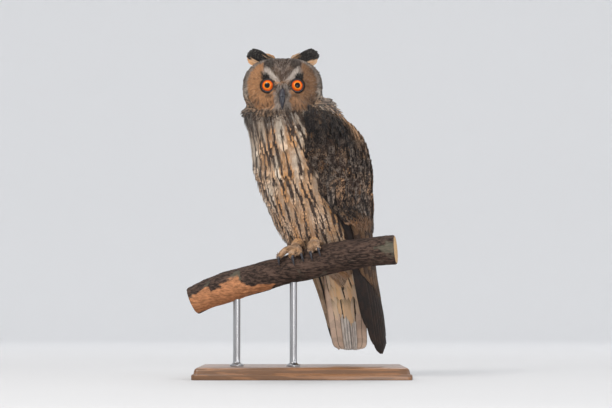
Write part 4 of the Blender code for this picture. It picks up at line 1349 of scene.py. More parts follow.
def wing_colours(place, s, t):
    """Pale and dark colour of the wing's small feathers, and their streaks."""
    p = bpy.context.scene.owl_plumage
    patchy = ripple(place * (1, 1, 0.7), 0.013, 31)
    fine = ripple(place, 0.006, 32)
    tint = blend(p.wing_pale, p.buff, np.clip(0.10 + 0.45 * fine, 0, 1))
    ground = blend(p.dark, p.wing, np.clip(0.45 + 0.5 * patchy, 0, 1))
    glow = ramp(ripple(place, 0.0075, 33), 1.05, 1.7)
    bend = ramp(-s, -0.30, -0.16) * ramp(-t, -0.52, -0.28)
    stripe = np.exp(-(((t - 0.50 + 0.9 * (s - 0.1)) / 0.075) ** 2))
    stripe = stripe * ramp(-s, -0.24, -0.15) * ramp(s, 0.02, 0.05)
    for shade, share in (
        (p.disc, glow * 0.5),
        (p.black, bend * 0.91),
        (blend(p.buff, p.cream, 0.2), stripe * 0.8),
        (p.black, ramp(s, 0.42, 0.46) * ramp(-s, -0.57, -0.53) * ramp(-t, -0.28, -0.16) * 0.85),
        (p.disc, ramp(s, 0.545, 0.56) * ramp(-s, -0.64, -0.60) * ramp(-t, -0.40, -0.25) * 0.75),
    ):
        tint = blend(tint, shade, share * 0.6)
        ground = blend(ground, shade, share)
    return np.clip(tint, 0, 1), np.clip(ground, 0, 1), np.clip(0.22 + 0.14 * patchy + 0.10 * fine, 0.08, 0.6)


def make_wing(name, side, seed):
    """A folded wing: the arm, its rows of coverts, and the flight feathers laid over one another."""
    p = bpy.context.scene.owl_plumage
    draw = np.random.default_rng(p.seed + seed)
    rings = []
    for s in np.linspace(0.0, 0.66, 26):
        thin = 0.024 * (1 - s / 0.66) + 0.0012
        outer = wing_point(side, np.full(18, s), np.linspace(0.02, 0.98, 18), -0.0052)
        ts = np.linspace(0.93, 0.07, 12)
        inner = wing_point(side, np.full(12, s), ts, -0.0056 - thin * 4 * ts * (1 - ts))
        rings.append(np.vstack([outer, inner]))
    points = np.vstack(rings)
    m = len(rings[0])
    arm = mesh_from(name + "_arm", points, capped_faces(len(rings), m))
    _, ground, _ = wing_colours(points, np.full(len(points), 0.3), np.full(len(points), 0.5))
    keep_rows(arm, "tint", ground)
    flat = [np.tile(np.linspace(0, 1, m), len(rings)), np.repeat(np.linspace(0, 1, len(rings)), m)]
    keep_map(arm, "OFBake", np.column_stack(flat))
    piece(name + "_arm", arm, "wing_plumage", name, finish=skin_finish())
    quills = Quills()
    primaries = 11
    feathers = []
    for i in range(primaries):
        share = (i - 2) / 8
        root = (0.50 + 0.06 * share, 0.14 + 0.62 * share)
        tip = (min(0.985, 1.0 - 0.13 * share) - 0.05 * (2 - i) * (i < 2), 0.20 + 0.68 * share)
        feathers.append((root, tip, 0.0078 - 0.0008 * (share < 0.2), 0.0))
    first = 0.10 if side > 0 else 0.24
    # The secondaries and their long coverts: where they root and end along the wing and across it
    for up, end, slant, uneven, reach, across, drop, half_width, layer in (
        (0.40, 0.74, 0.07, 0.006, 0.90, 0.03, 0.86, 0.0094, 0.0006),
        (0.27, 0.585, 0.03, 0.012, 0.88, 0.01, 0.87, 0.0092, 0.0012),
    ):
        for i in range(9):
            share = i / 8
            root = (up, first + (reach - first) * share)
            tip = (end + slant * share + uneven * (i % 2), first + across + (drop - first) * share)
            feathers.append((root, tip, half_width, layer))
    for cell, (root, tip, half_width, layer) in enumerate(feathers):
        outline = vane_outline(0.45, 0.45, 0.84)
        jitter = draw.normal(0, 0.006)

        def place(along, across, lift, root=root, tip=tip, half_width=half_width, layer=layer, jitter=jitter):
            s = root[0] + (tip[0] + jitter - root[0]) * along
            t = root[1] + (tip[1] - root[1]) * along
            row = row_at(WING_ROWS, s)
            chord = np.hypot(row[..., 3] - row[..., 1], row[..., 4] - row[..., 2])
            sunk = -0.0052 * (1 - along) ** 2 - 0.0014 + layer * along
            return wing_point(side, s, t + across * half_width / chord, lift + sunk - across * 0.0013)

        far = cell < primaries
        buff = (0.0 if far else 0.22) * draw.uniform(0.6, 1.2)
        tint = layered(p.wing, (p.black, 0.8 * far), (p.buff, buff))
        inner = blend(p.wing_pale, p.cream, 0.5)
        if side < 0:
            inner = blend(p.wing, blend(p.buff, p.cream, 0.5), float(1 - cell % 2))
        kind = ((draw.uniform(5.5, 7.5), 0.75, 0.8), (draw.uniform(5.5, 7.5), 0.35, 0.3))
        quills.add(place, outline, len(feathers), (tint, inner), blend(p.dark, p.black, 0.3), kind, cell)
    piece(name + "_quills", quills.mesh(name + "_quills"), "wing_plumage", finish=flight_finish())

    def laid(label, rows, sunk, body, shape, finish, rise=0.05):
        """A layer of small feathers on the wing; body is how much of them has the body's colours."""
        keep = (rows["t"] > 0.14) | (rows["s"] < 0.06) | (side > 0)
        rows = {key: value[keep] for key, value in rows.items()}
        at, down, over, out = wing_frame(side, rows["s"], rows["t"])
        n = len(at)
        lie = down + over * (0.18 * (0.5 - rows["t"]))[:, None]
        lie = along_skin(lie + draw.normal(0, 0.07, (n, 3)), out)
        tint, ground, streak = wing_colours(at + lie * 0.008, rows["s"], rows["t"])
        own = blend(p.cream, p.buff, np.clip(0.45 + 0.6 * ripple(at, 0.010, 35), 0, 1))
        tint = blend(tint, own, body)
        if label == "_down":
            tint = np.where((draw.random(n) < 0.22)[:, None], tint, ground)
            ground, streak = tint, 0 * streak
        deep = sunk - 0.0006 * rows["order"]
        near = ramp(-rows["s"], -0.30, -0.12) * ramp(rows["t"], 0.25, 0.5)
        tilt = deep * 1.15 / rows["long"] + rise * (1 - 0.9 * near)
        span = (rows["long"], rows["wide"], tilt)
        bend = (0.20, 0.30, draw.normal(0, 0.06, n))
        tint = tint * draw.normal(1, 0.08, (n, 1)).clip(0.7, 1.2)
        root = at - out * (deep + 0.0012 * near)[:, None]
        roots = Roots(root, lie, out, span, bend, tint, blend(ground, p.dark, body))
        wrist = ramp(-rows["s"], -0.30, -0.18) * ramp(-rows["t"], -0.50, -0.25)
        bars = (1.0 - 0.8 * body) * (1 - 0.50 * wrist)
        roots.marked(streak * (1 + 0.9 * body), bars, 0.35 * draw.random(n) * (1 - 0.8 * wrist))
        flat = np.column_stack([rows["t"] * 0.98 + 0.01, rows["s"] * 0.98 + 0.01])
        grow(name + label, roots, shape, finish, "wing_plumage", bake=flat)

    # A tier's start and end along the wing, its rows, feathers a row, and their length and width
    tiers = (
        (0.015, 0.21, 10, 22, 0.0135, 0.0036),
        (0.215, 0.31, 5, 17, 0.0190, 0.0046),
        (0.33, 0.39, 3, 14, 0.0265, 0.0054),
        (0.42, 0.465, 2, 12, 0.0320, 0.0056),
    )
    laid("_coverts", covert_rows(draw, tiers), 0.0046, 0.0, COVERT_SHAPE, covert_finish())
    rows = covert_rows(draw, ((0.0, 0.10, 5, 15, 0.0250, 0.0048),))
    rows = {key: value[(rows["t"] > 0.45) | (rows["s"] < 0.035)] for key, value in rows.items()}
    rows["long"] = rows["long"] * (0.50 + 0.50 * ramp(rows["t"], 0.25, 0.60))
    laid("_scapulars", rows, 0.0020, 1.0, (7, 8, 0.5, 0.10, 0.30, 0.14), plumage_finish(), 0.04)
    rows = {"s": np.repeat(np.linspace(0.07, 0.56, 58), 4), "t": np.tile((-0.05, -0.03, 0.0, 0.04), 58)}
    rows = {key: value + draw.normal(0, 0.005, 232) for key, value in rows.items()}
    rows.update(long=draw.normal(0.0150, 0.0014, 232), wide=draw.normal(0.0040, 0.0003, 232))
    rows["order"] = 6.5 * ramp(rows["s"], 0.38, 0.47)
    if side > 0:
        laid("_front", rows, 0.0046, 0.0, COVERT_SHAPE, covert_finish(), 0.03)
    count = 9000
    rows = {"s": draw.uniform(0.01, 0.60, count), "t": draw.uniform(0.02, 0.98, count)}
    rows.update(long=draw.uniform(0.005, 0.010, count), wide=np.full(count, BARB_HALF), order=np.zeros(count))
    laid("_down", rows, 0.0012, 0.0, BARB_SHAPE, plumage_finish(), 0.10)


def covert_finish():
    """Wing coverts: a dark ground with broken pale cross dashes, a dark shaft streak and paler tips."""

    def build(net):
        share, across, along, tint, mark, (streak, bars, edge), spot = vane_maps(net)
        grit = net.noise(spot, 1100.0, 3.0, 0.7)
        cloud = net.noise(spot, 150.0)
        wide = streak * (0.7 + 0.5 * along) + (grit - 0.5) * 0.20
        shaft = 1.0 - net.step(across, wide - 0.12, wide + 0.12)
        weave = net.add("ShaderNodeCombineXYZ", None, {0: share * 1.9, 1: along * 10.0})
        dashes = net.noise(net.vector("ADD", weave, net.scaled(spot, 240.0)), 1.0, 3.0, 0.65)
        pale = net.step(dashes + (cloud - 0.5) * 0.6 + (grit - 0.5) * 0.22, 0.51, 0.58) * bars
        pale = pale.maths("MAXIMUM", net.step(across * 0.5 + along, 1.15, 1.45) * edge)
        shade = net.mix(pale, mark, tint)
        shade = net.mix(shaft * 0.85, shade, net.mix(0.6, mark, (0.004, 0.003, 0.003)))
        shade, barb = barbed(net, shade, along * 70.0 + across * 40.0, 0.08, 0.08, (0.01, 0.008, 0.006))
        return {"Base Color": shade, "Normal": bump(net, barb * 0.5 + grit, 0.0003, 0.4)}

    return material("covert_feathers", build, Roughness=0.78, Sheen_Weight=0.10, Specular_IOR_Level=0.25)


def make_tail():
    """Twelve tail feathers laid over one another, with the coverts above and below their roots."""
    p = bpy.context.scene.owl_plumage
    draw = np.random.default_rng(p.seed + 5)
    quills = Quills()
    feathers = []
    pairs = ((0.74, 0.965), (0.60, 0.985), (0.46, 1.0), (0.32, 1.0), (0.20, 1.0), (0.09, 0.99))
    for layer, (across, tip) in enumerate(pairs):
        feathers += [(side * across, tip, 0.0006 * (layer - 2.5) + 0.0002 * side) for side in (-1, 1)]
    for cell, (across, tip, height) in enumerate(feathers):

        def place(along, side, lift, across=across, tip=tip, height=height):
            s = 0.10 + (tip - 0.10) * along
            at = across * (0.72 + 0.28 * np.minimum(1.0, s * 2.0)) + side * 0.0086 / 0.0265
            return tail_point(s, at, height * np.minimum(1.0, s * 2.2) + lift * 0.6)

        count = draw.uniform(6.5, 8.0)
        upper = blend(p.wing_pale, p.buff, 0.3 + 0.3 * draw.random())
        lower = blend(p.tail, TAIL_WHITE, 0.75 - 0.5 * draw.random())
        tints = (upper, blend(lower, p.buff, 0.55 * (cell < 2)))
        kinds = ((count, 0.8, 0.6), (count, 0.16, 0.10))
        outline = vane_outline(0.5, 0.4, 0.88)
        quills.add(place, outline, len(feathers), tints, blend(p.dark, p.wing, 0.5), kinds, cell)
    piece("tail_quills", quills.mesh("tail_quills"), "tail_plumage", "tail", finish=flight_finish())
    own_back = to_world(np.array([[0.0, 1.0, 0.25]]), place=False)[0]
    sets = []
    below = ((0.02, 9, 0.026), (0.10, 10, 0.030), (0.18, 10, 0.033), (0.26, 9, 0.036))
    below += ((0.34, 9, 0.037), (0.41, 8, 0.038), (0.47, 7, 0.034))
    above = ((0.02, 9, 0.020), (0.10, 8, 0.022), (0.18, 7, 0.024))
    for under, rows in ((1, below), (0, above)):
        for i, (s, count, long) in enumerate(rows):
            across = (np.arange(count) + 0.5 + 0.3 * (i % 2) - 0.15) / count * 2 - 1
            across = across * (0.92 - 0.015 * i) + draw.normal(0, 0.03, count)
            thick = 0.0125 * (1 - (min(s, 0.40) / 0.46) ** 2)
            thick = thick * np.sqrt(np.clip(1 - across**2, 0.05, 1)) + 0.0012
            parts = (s, across, thick * (-1 if under else 1), long, under)
            sets.append(np.column_stack([np.broadcast_to(part, count) for part in parts]))
    rows = np.vstack(sets)
    n = len(rows)
    at = tail_point(rows[:, 0], rows[:, 1], rows[:, 2])
    lie = unit(tail_point(rows[:, 0] + 0.06, rows[:, 1], rows[:, 2] * 0.8) - at)
    out = own_back * np.where(rows[:, 4] > 0, -1, 1)[:, None]
    out = unit(out + to_world(np.column_stack([rows[:, 1] * 0.55, np.zeros(n), np.zeros(n)]), place=False))
    out = unit(out - lie * (out * lie).sum(1, keepdims=True))
    lie = along_skin(lie + draw.normal(0, 0.05, (n, 3)), out)
    patchy = ripple(at, 0.012, 41)
    below = rows[:, 4] > 0
    warm = blend(blend(p.cream, p.tail, 0.35), UNDERTAIL, np.clip(0.66 + 0.4 * patchy, 0, 1))
    tint = np.where(below[:, None], warm, blend(p.wing, p.wing_pale, 0.4))
    span = (rows[:, 3] * draw.normal(1, 0.09, n), 0.0066, 0.09)
    bend = (0.14, 0.25, draw.normal(0, 0.06, n))
    roots = Roots(at - out * 0.0015, lie, out, span, bend, tint, p.dark)
    streak = np.where(below, draw.choice((0.02, 0.03, 0.12, 0.19), n), 0.4)
    roots.marked(streak, np.where(below, 0.0, 0.5), 0.3)
    flat = np.column_stack([0.5 + rows[:, 1] * 0.45, 0.02 + rows[:, 0] + 0.5 * rows[:, 4]])
    grow("tail_coverts", roots, TAIL_SHAPE, plumage_finish(), "tail_plumage", bake=flat)


def make_tufts():
    """The two ear tufts, feather by feather: black with buff outer webs and loose barbs."""
    p = bpy.context.scene.owl_plumage
    for name, side in (("left", 1), ("right", -1)):
        draw = np.random.default_rng(p.seed + 50 + side)
        turn = np.array((side, 1, 1))
        way = unit(np.array((0.880, 0.10, 0.470)))
        up = unit(np.array((-way[2], 0, way[0])))
        ahead = np.array((0.0, -1.0, 0.0))
        sets = []
        layout = []
        for k, rise in enumerate(np.linspace(0.0075, -0.0034, 15)):
            layout.append((rise, 0.0345 - 60 * rise**2, 0.0020 * math.sin(k * 2.1), 0.0))
        for k, rise in enumerate((-0.0040, -0.0050, -0.0060, -0.0070, -0.0080)):
            layout.append((rise, 0.0320 + 0.7 * (rise + 0.004), -0.0014 + 0.0010 * k, 1.0))
        layout += [(0.0088, 0.0150, 0.0016, 0.55), (0.0098, 0.0110, -0.0010, 0.6)]
        for rise, long, front, buff in layout:
            root = np.array((0.0125, 0.004, 0.0272)) + up * rise * 0.55 + ahead * front
            lie = unit(way * long + up * rise * 0.45)
            sets.append((root, lie, unit(ahead - lie * (ahead @ lie)), long, 0.0044, 0.06, buff))
        for _ in range(520):
            rise = draw.uniform(-0.0090, 0.0095)
            start = draw.uniform(0, 0.023) * (1 - abs(rise) / 0.02)
            root = np.array((0.0115, 0.004, 0.0265)) + way * start + up * rise * 0.8
            root = root + ahead * draw.uniform(-0.0038, 0.0046)
            lie = unit(way + up * rise * 14 + draw.normal(0, 0.09, 3))
            buff = 1.0 if rise < -0.0036 else 0.55 * (start < 0.006 and rise > 0.005) * draw.random()
            out = unit(ahead - lie * (ahead @ lie))
            sets.append((root, lie, out, draw.uniform(0.008, 0.0135), 0.00038, 0.10, buff))
        root, lie, out = (np.array([row[k] for row in sets]) * turn for k in range(3))
        long, wide, lift, buff = (np.array([row[k] for row in sets]) for k in range(3, 7))
        root = root + HEAD_MIDDLE
        tint = blend(p.black, p.buff, buff)
        tint = blend(tint, p.cream, buff * draw.random(len(buff)) * 0.5)
        tint = tint * draw.uniform(0.8, 1.2, (len(buff), 1))
        span, bend = (long, wide, lift), (0.25, 0.25, 0)
        roots = Roots(root, lie, out, span, bend, np.clip(tint, 0, 1), p.black)
        roots.marked(0.35 * (1 - buff))
        flat = np.column_stack([np.linspace(0.02, 0.98, len(buff)), draw.uniform(0.05, 0.95, len(buff))])
        node = "ear_tuft_" + name
        grow("tuft_" + name, roots, TUFT_SHAPE, plumage_finish(), "face_plumage", node, bake=flat)


def eye_mesh(name, place, turn):
    """An eyeball with a bulging cornea. It keeps each point's reach from the line of sight."""
    polars = np.concatenate([np.linspace(0, 1.05, 26)[1:], np.linspace(1.15, math.pi, 16)[:-1]])
    radius = EYE_RADIUS * (1 + 0.045 * ramp(-polars, -0.86, -0.40))
    sides = 48
    turns = around(sides)
    rings = [circle(r * math.sin(a), turns, r * math.cos(a)) for a, r in zip(polars, radius)]
    points = np.vstack([*rings, [[0, 0, radius[0]]], [[0, 0, -EYE_RADIUS]]]) @ turn.T + np.array(place)
    mesh = mesh_from(name, points, pole_faces(len(rings), sides))
    reach = np.concatenate([np.repeat(polars, sides), [0, math.pi]])
    angle = np.concatenate([np.tile(turns, len(rings)), [0, 0]])
    keep_rows(mesh, "gaze", np.column_stack([reach * np.cos(angle), reach * np.sin(angle), reach]))
    return mesh


def eye_finish():
    """A wet orange iris with fine spokes and a dark rim, round a black pupil."""

    def build(net):
        h = bpy.context.scene.owl_horn
        gaze = net.kept("gaze", "Vector")
        _, _, reach = net.split(gaze)
        ways = net.vector("NORMALIZE", net.vector("MULTIPLY", gaze, (1.0, 1.0, 0.0)))
        spokes = net.noise(ways, 9.0, 3.0, 0.7)
        grain = net.noise(gaze, 14.0)
        iris = 0.755
        pupil = iris * h.pupil
        bright = tuple(min(1, c) for c in shaded(h.iris, 1.10))
        warm = net.mix(net.step(spokes * 0.7 + grain * 0.3, 0.35, 0.65), shaded(h.iris, 0.75), bright)
        warm = net.mix(net.step(reach, pupil + 0.02, pupil + 0.20), IRIS_GLOW, warm)
        shade = net.mix(1.0 - net.step(reach, pupil - 0.03, pupil + 0.03), warm, PUPIL_BLACK)
        shade = net.mix(net.step(reach, iris - 0.06, iris + 0.02), shade, IRIS_RIM)
        return {"Base Color": shade}

    wet = {"Coat_Weight": 0.35, "Coat_Roughness": 0.02, "Specular_IOR_Level": 0.1}
    return material("eye", build, Roughness=0.4, **wet)


def dark_finish(name, colour_of, scale, rough):
    """Horn: near black with faint lengthwise growth lines and worn, paler edges."""

    def build(net):
        spot = net.spot()
        lines = net.noise(net.vector("MULTIPLY", spot, (1.0, 1.0, 0.25)), scale, 3.0, 0.6)
        wear_and_root_shade = net.noise(spot, scale * 0.35)
        pale = tuple(c + 0.01 for c in shaded(colour_of, 2.6))
        shade = net.mix(net.step(lines, 0.45, 0.75) * 0.5, colour_of, pale)
        shade = net.mix(net.step(wear_and_root_shade, 0.55, 0.75) * 0.35, shade, WORN_HORN)
        uneven = rough + (lines - 0.5) * 0.25
        return {"Base Color": shade, "Roughness": uneven, "Normal": bump(net, lines, 0.00015, 0.5)}

    return material(name, build, Specular_IOR_Level=0.5)


def horn_finish():
    return dark_finish("horn", tuple(bpy.context.scene.owl_horn.horn), 900.0, 0.38)


def make_eyes():
    """Eyes deep in the head, and the dark lids round them."""
    lid_skin = dark_finish("eyelid", linear(26, 21, 22), 1500.0, 0.6)
    for name, side in (("left", 1), ("right", -1)):
        place = HEAD_CENTRE + Vector((side * EYE_PLACE.x, EYE_PLACE.y, EYE_PLACE.z))
        look = Vector((side * 0.20, -1, 0)).normalized()
        turn = np.array(look.to_track_quat("Z", "Y").to_matrix())
        ball = eye_mesh("eye_ball_" + name, place, turn)
        piece("eye_ball_" + name, ball, "eyes", "eye_" + name, finish=eye_finish())
        sides, rings = 56, []
        turns = around(sides)
        up = turn.T @ np.array((0.0, 0.0, 1.0))
        high = np.cos(turns) * up[0] + np.sin(turns) * up[1]
        for k in range(11):
            share = k / 10
            polar = 0.735 + 0.30 * share - 0.045 * ramp(high, 0.2, 1.0) * (1 - share)
            lifted = EYE_RADIUS * 1.03 + 0.0011 * math.sin(math.pi * min(1, share * 1.15))
            lifted = lifted - 0.0016 * ramp(share, 0.7, 1.0) + 0.00012 * np.sin(turns * 14 + 3 * share)
            rings.append(circle(lifted * np.sin(polar), turns, lifted * np.cos(polar)))
        for polar in (0.99, 0.77):
            low = EYE_RADIUS * 0.985
            rings.append(circle(low * math.sin(polar), turns, low * math.cos(polar)))
        points = np.vstack(rings) @ turn.T + np.array(place)
        faces = ring_faces(len(rings), sides)
        last = (len(rings) - 1) * sides
        faces += [(last + j, last + (j + 1) % sides, (j + 1) % sides, j) for j in range(sides)]
        piece("eyelid_" + name, mesh_from("eyelid_" + name, points, faces), "horn", finish=lid_skin)


def swept(name, path, radii, sides, flat=1.0, place=(0, 0, 0)):
    """A closed tapering horn along the path, slightly keeled on top. flat squeezes it from side to side."""
    rows = smooth_rows([(*p, r) for p, r in zip(path, radii)], 40)
    middles, radii = rows[:, :3], rows[:, 3]
    ways = unit(np.gradient(middles, axis=0))
    rings = []
    for middle, way, radius in zip(middles, ways, radii):
        side = unit(np.cross(way, (0.0, 0.0, 1.0) if abs(way[2]) < 0.95 else (0.0, 1.0, 0.0)))
        over = np.cross(side, way)
        turns = around(sides)
        swell = radius * (1 + 0.06 * np.cos(2 * turns))
        ring = side * (np.cos(turns) * swell * flat)[:, None] + over * (np.sin(turns) * swell)[:, None]
        rings.append(middle + ring)
    points = np.vstack([*rings, middles[:1], middles[-1:]]) + np.array(place)
    return mesh_from(name, points, pole_faces(len(rings), sides))


def make_bill():
    """The hooked bill and its lower half, deep between the bristles."""
    over = ((-0.030, -0.004), (-0.0385, -0.008), (-0.0435, -0.0140))
    over += ((-0.0450, -0.0200), (-0.0440, -0.0250), (-0.0420, -0.0290))
    under = ((-0.028, -0.0135), (-0.0345, -0.0170), (-0.0385, -0.0205), (-0.0398, -0.0240))
    for label, node, line, radii, sides, flat in (
        ("bill_over", "bill_upper", over, (0.0034, 0.0036, 0.0034, 0.0028, 0.0017, 0.0004), 28, 0.92),
        ("bill_under", "bill_lower", under, (0.0036, 0.0034, 0.0025, 0.0009), 24, 0.95),
    ):
        mesh = swept(label, [(0, y, z) for y, z in line], radii, sides, flat, HEAD_CENTRE)
        piece(label, mesh, "horn", node, finish=horn_finish())


# The branch: places across the view and heights of its middle line, and where the toes lie on it
PERCH_PATH = (
    (-0.128, 0.0900),
    (-0.101, 0.1015),
    (-0.050, 0.1170),
    (0.000, 0.1305),
    (0.045, 0.1412),
    (0.080, 0.1462),
    (0.108, 0.1485),
)
PERCH_RADIUS = 0.0174
FEET = {"left": 0.0245, "right": 0.0050}
# Each toe's end along the branch, and the angles round it at which its claw starts and ends
TOES = {
    "left": {
        "inner": (-0.003, 54, 92),
        "middle": (0.006, 50, 86),
        "outer": (0.013, -34, -70),
        "hind": (0.000, -36, -74),
    },
    "right": {
        "inner": (0.006, 54, 90),
        "middle": (-0.004, 56, 94),
        "outer": (-0.019, 44, 78),
        "hind": (-0.002, -36, -74),
    },
}


def perch_point(x):
    """World points of the branch's middle line at places across the view."""
    x = np.asarray(x, float)
    rows = smooth_rows(PERCH_PATH, 121)
    z = np.interp(x, rows[:, 0], rows[:, 1])
    return np.stack([x, GRIP.y - 0.006 - (x - GRIP.x) * math.tan(math.radians(10)), z], -1)


def over_perch(shift, angle, height):
    """A point round the branch: shift along it from the grip, angle from top to front, height off it."""
    x = GRIP.x + shift
    along = unit(perch_point(x + 0.004) - perch_point(x - 0.004))
    up = unit(np.array((0.0, 0.0, 1.0)) - along * along[2])
    front = -np.cross(up, along)
    front = front if front[1] < 0 else -front
    turn = math.radians(angle)
    return perch_point(x) + (up * math.cos(turn) + front * math.sin(turn)) * (PERCH_RADIUS + height)


def make_claws():
    """Eight curved claws closed on the branch."""
    for name, toes in TOES.items():
        for toe, (end, angle, claw_angle) in toes.items():
            way = math.copysign(1, angle)
            path, radii = [], []
            for q in (0, 0.3, 0.6, 0.85, 1):
                turn = angle + (claw_angle - angle) * q - way * 6
                path.append(over_perch(FEET[name] + end * (1 + 0.1 * q), turn, 0.0058 - 0.0042 * q**2))
                radii.append(0.0021 * (1 - 0.9 * q**1.5))
            mesh = swept(f"talon_{toe}_{name}", path, radii, 18)
            piece(f"talon_{toe}_{name}", mesh, "horn", f"claw_{toe}_{name}", finish=horn_finish())


def perch_finish():
    """Bark with lengthwise furrows, its upper side darkened with painted shade, bare reddish wood where it is
    off, and rings on the sawn ends.
    """

    def build(net):
        q = bpy.context.scene.owl_perch
        spot = net.spot()
        tilted = net.mapped(spot, (0.28, 1.0, 1.0), (0.0, math.radians(12), 0.0))
        grain = net.noise(tilted, 520.0, 5.0, 0.65)
        broad = net.noise(tilted, 120.0, 3.0, 0.6)
        patch = net.noise(spot, 38.0, 3.0, 0.55)
        bare, end, high = net.split(net.kept("bark", "Vector"))
        shade = net.mix(net.step(grain, 0.40, 0.62), tuple(q.bark_dark), tuple(q.bark))
        shade = net.mix(net.step(broad, 0.50, 0.70) * 0.55, shade, shaded(q.bark, 1.7))
        shade = net.mix(net.step(patch, 0.56, 0.66) * 0.35, shade, linear(120, 122, 104))
        # Painted shade: the more the bark faces up, the more it is darkened toward the furrows' colour.
        shade = net.mix(high * 0.40, shade, tuple(q.bark_dark))
        open_wood = net.step(bare + (patch - 0.5) * 1.6 + (broad - 0.5) * 0.8, 0.42, 0.54)
        wood = net.mix(net.step(grain, 0.35, 0.70), shaded(q.bare, 0.55), shaded(q.bare, 1.25))
        shade = net.mix(open_wood, shade, wood)
        ring = net.step((end * 150.0 + broad * 5.0).maths("SINE"), -0.2, 0.9)
        sawn = net.mix(ring * 0.7, linear(206, 172, 128), linear(146, 104, 66))
        sawn = net.mix(net.step(end, 0.90, 0.955), sawn, tuple(q.bark_dark))
        shade = net.mix(net.step(end, 0.001, 0.002), shade, sawn)
        height = grain * (1.0 - open_wood * 0.7) + broad * 0.6
        rough = 0.92 - open_wood * 0.25
        return {"Base Color": shade, "Roughness": rough, "Normal": bump(net, height, 0.0012, 0.8)}

    return material("bark", build, Specular_IOR_Level=0.25)


def make_perch():
    """The cut length of branch, with furrowed bark, two knots and sawn ends."""
    q = bpy.context.scene.owl_perch
    rows, sides, caps = 340, 150, 9
    xs = np.linspace(PERCH_PATH[0][0], PERCH_PATH[-1][0], rows)
    middles = perch_point(xs)
    along = unit(np.gradient(middles, axis=0))
    up = unit(np.array((0.0, 0.0, 1.0)) - along * along[:, 2:])
    front = np.cross(along, up)
    turns = around(sides)
    ways = up[:, None] * np.cos(turns)[None, :, None] + front[:, None] * np.sin(turns)[None, :, None]
    radius = PERCH_RADIUS + 0.0006 * np.sin(55 * xs) + 0.0004 * np.sin(131 * xs + 1)
    flat = (middles[:, None] + ways * PERCH_RADIUS).reshape(-1, 3)
    long = np.column_stack([flat[:, 0] * 0.22, flat[:, 1], flat[:, 2] - flat[:, 0] * 0.2])
    ridges = ripple(long, 0.0022, 61) * 0.55 + ripple(long, 0.0045, 62) * 0.6 + ripple(flat, 0.0013, 63) * 0.2
    ridges = np.clip(ridges, -1.2, 0.9).reshape(rows, sides) * q.ridge * 0.55
    bare = np.zeros((rows, sides))
    for middle, half, shares in (
        (-0.098, 0.035, np.clip(np.cos(turns - 2.4), 0, 1)),
        (-0.058, 0.036, 0.62 * np.clip(np.cos(turns - 2.45), 0, 1) ** 8),
        (0.060, 0.02, 0.35 * np.clip(-np.cos(turns), 0, 1)),
    ):
        bare += np.exp(-(((xs - middle) / half) ** 2))[:, None] * shares[None]
    ridges = ridges * (1 - 0.75 * np.clip(bare * 1.6, 0, 1))
    for x, turn, high in ((-0.066, 2.2, 0.0030), (0.083, 4.3, 0.0026)):
        round_branch = np.angle(np.exp(1j * (turns - turn))) * PERCH_RADIUS
        gap = np.hypot((xs[:, None] - x) / 0.0065, round_branch[None] / 0.0058)
        ridges = ridges + high * np.exp(-(gap**2)) - high * 0.8 * np.exp(-((gap / 0.45) ** 2))
    soft_end = np.minimum(np.arange(rows), np.arange(rows)[::-1]) / 3
    ridges = ridges - 0.0009 * np.clip(1 - soft_end, 0, 1)[:, None] ** 2
    skin = middles[:, None] + ways * (radius[:, None] - 0.0004 + ridges)[..., None]
    ends = []
    # Each point keeps its bare share, a zero, and how far it faces up, which sets the painted shade on the
    # upper side.
    shape = np.stack([np.clip(bare, 0, 1), np.zeros_like(bare), np.clip(ways[..., 2], 0, 1) ** 2], -1)
    for row, order in ((0, range(caps)), (rows - 1, range(caps - 1, -1, -1))):
        cap = []
        for k in order:
            share = (k + 0.4) / caps
            ring = middles[row] + (skin[row] - middles[row]) * share
            cap.append(ring + along[row] * 0.00025 * math.sin(7 * share))
        ends.append(cap)
    rings = [*ends[0], *skin, *ends[1]]
    cap_mark = [np.tile((0, (k + 0.4) / caps, 0), (sides, 1)) for k in range(caps)]
    mark = [*cap_mark, *shape, *cap_mark[::-1]]
    points = np.vstack([*rings, middles[:1], middles[-1:]])
    mesh = mesh_from("branch", points, pole_faces(len(rings), sides))
    keep_rows(mesh, "bark", np.vstack([*mark, [[0, 0.01, 0]] * 2]))
    piece("branch", mesh, "bark", "perch", finish=perch_finish())
    mesh.set_sharp_from_angle(angle=math.radians(60))


# The edge of the base: how far in, and how high
BASE_PROFILE = ((0.0006, 0.0), (0.0, 0.0006), (0.0, 0.0048), (0.0004, 0.0058), (0.0014, 0.0064))
BASE_PROFILE += ((0.0024, 0.0068), (0.0028, 0.0078), (0.0030, 0.0098), (0.0038, 0.0118))
BASE_PROFILE += ((0.0052, 0.0132), (0.0068, 0.0140))
# The collar of a rod and the rod's foot: radius and height
COLLAR = ((0.0082, 0.0), (0.0082, 0.0012), (0.0076, 0.0020), (0.0058, 0.0026), (0.0052, 0.0034))
COLLAR += ((0.0044, 0.0040),)
ROD_RADIUS, ROD_FOOT = 0.0042, 0.0046


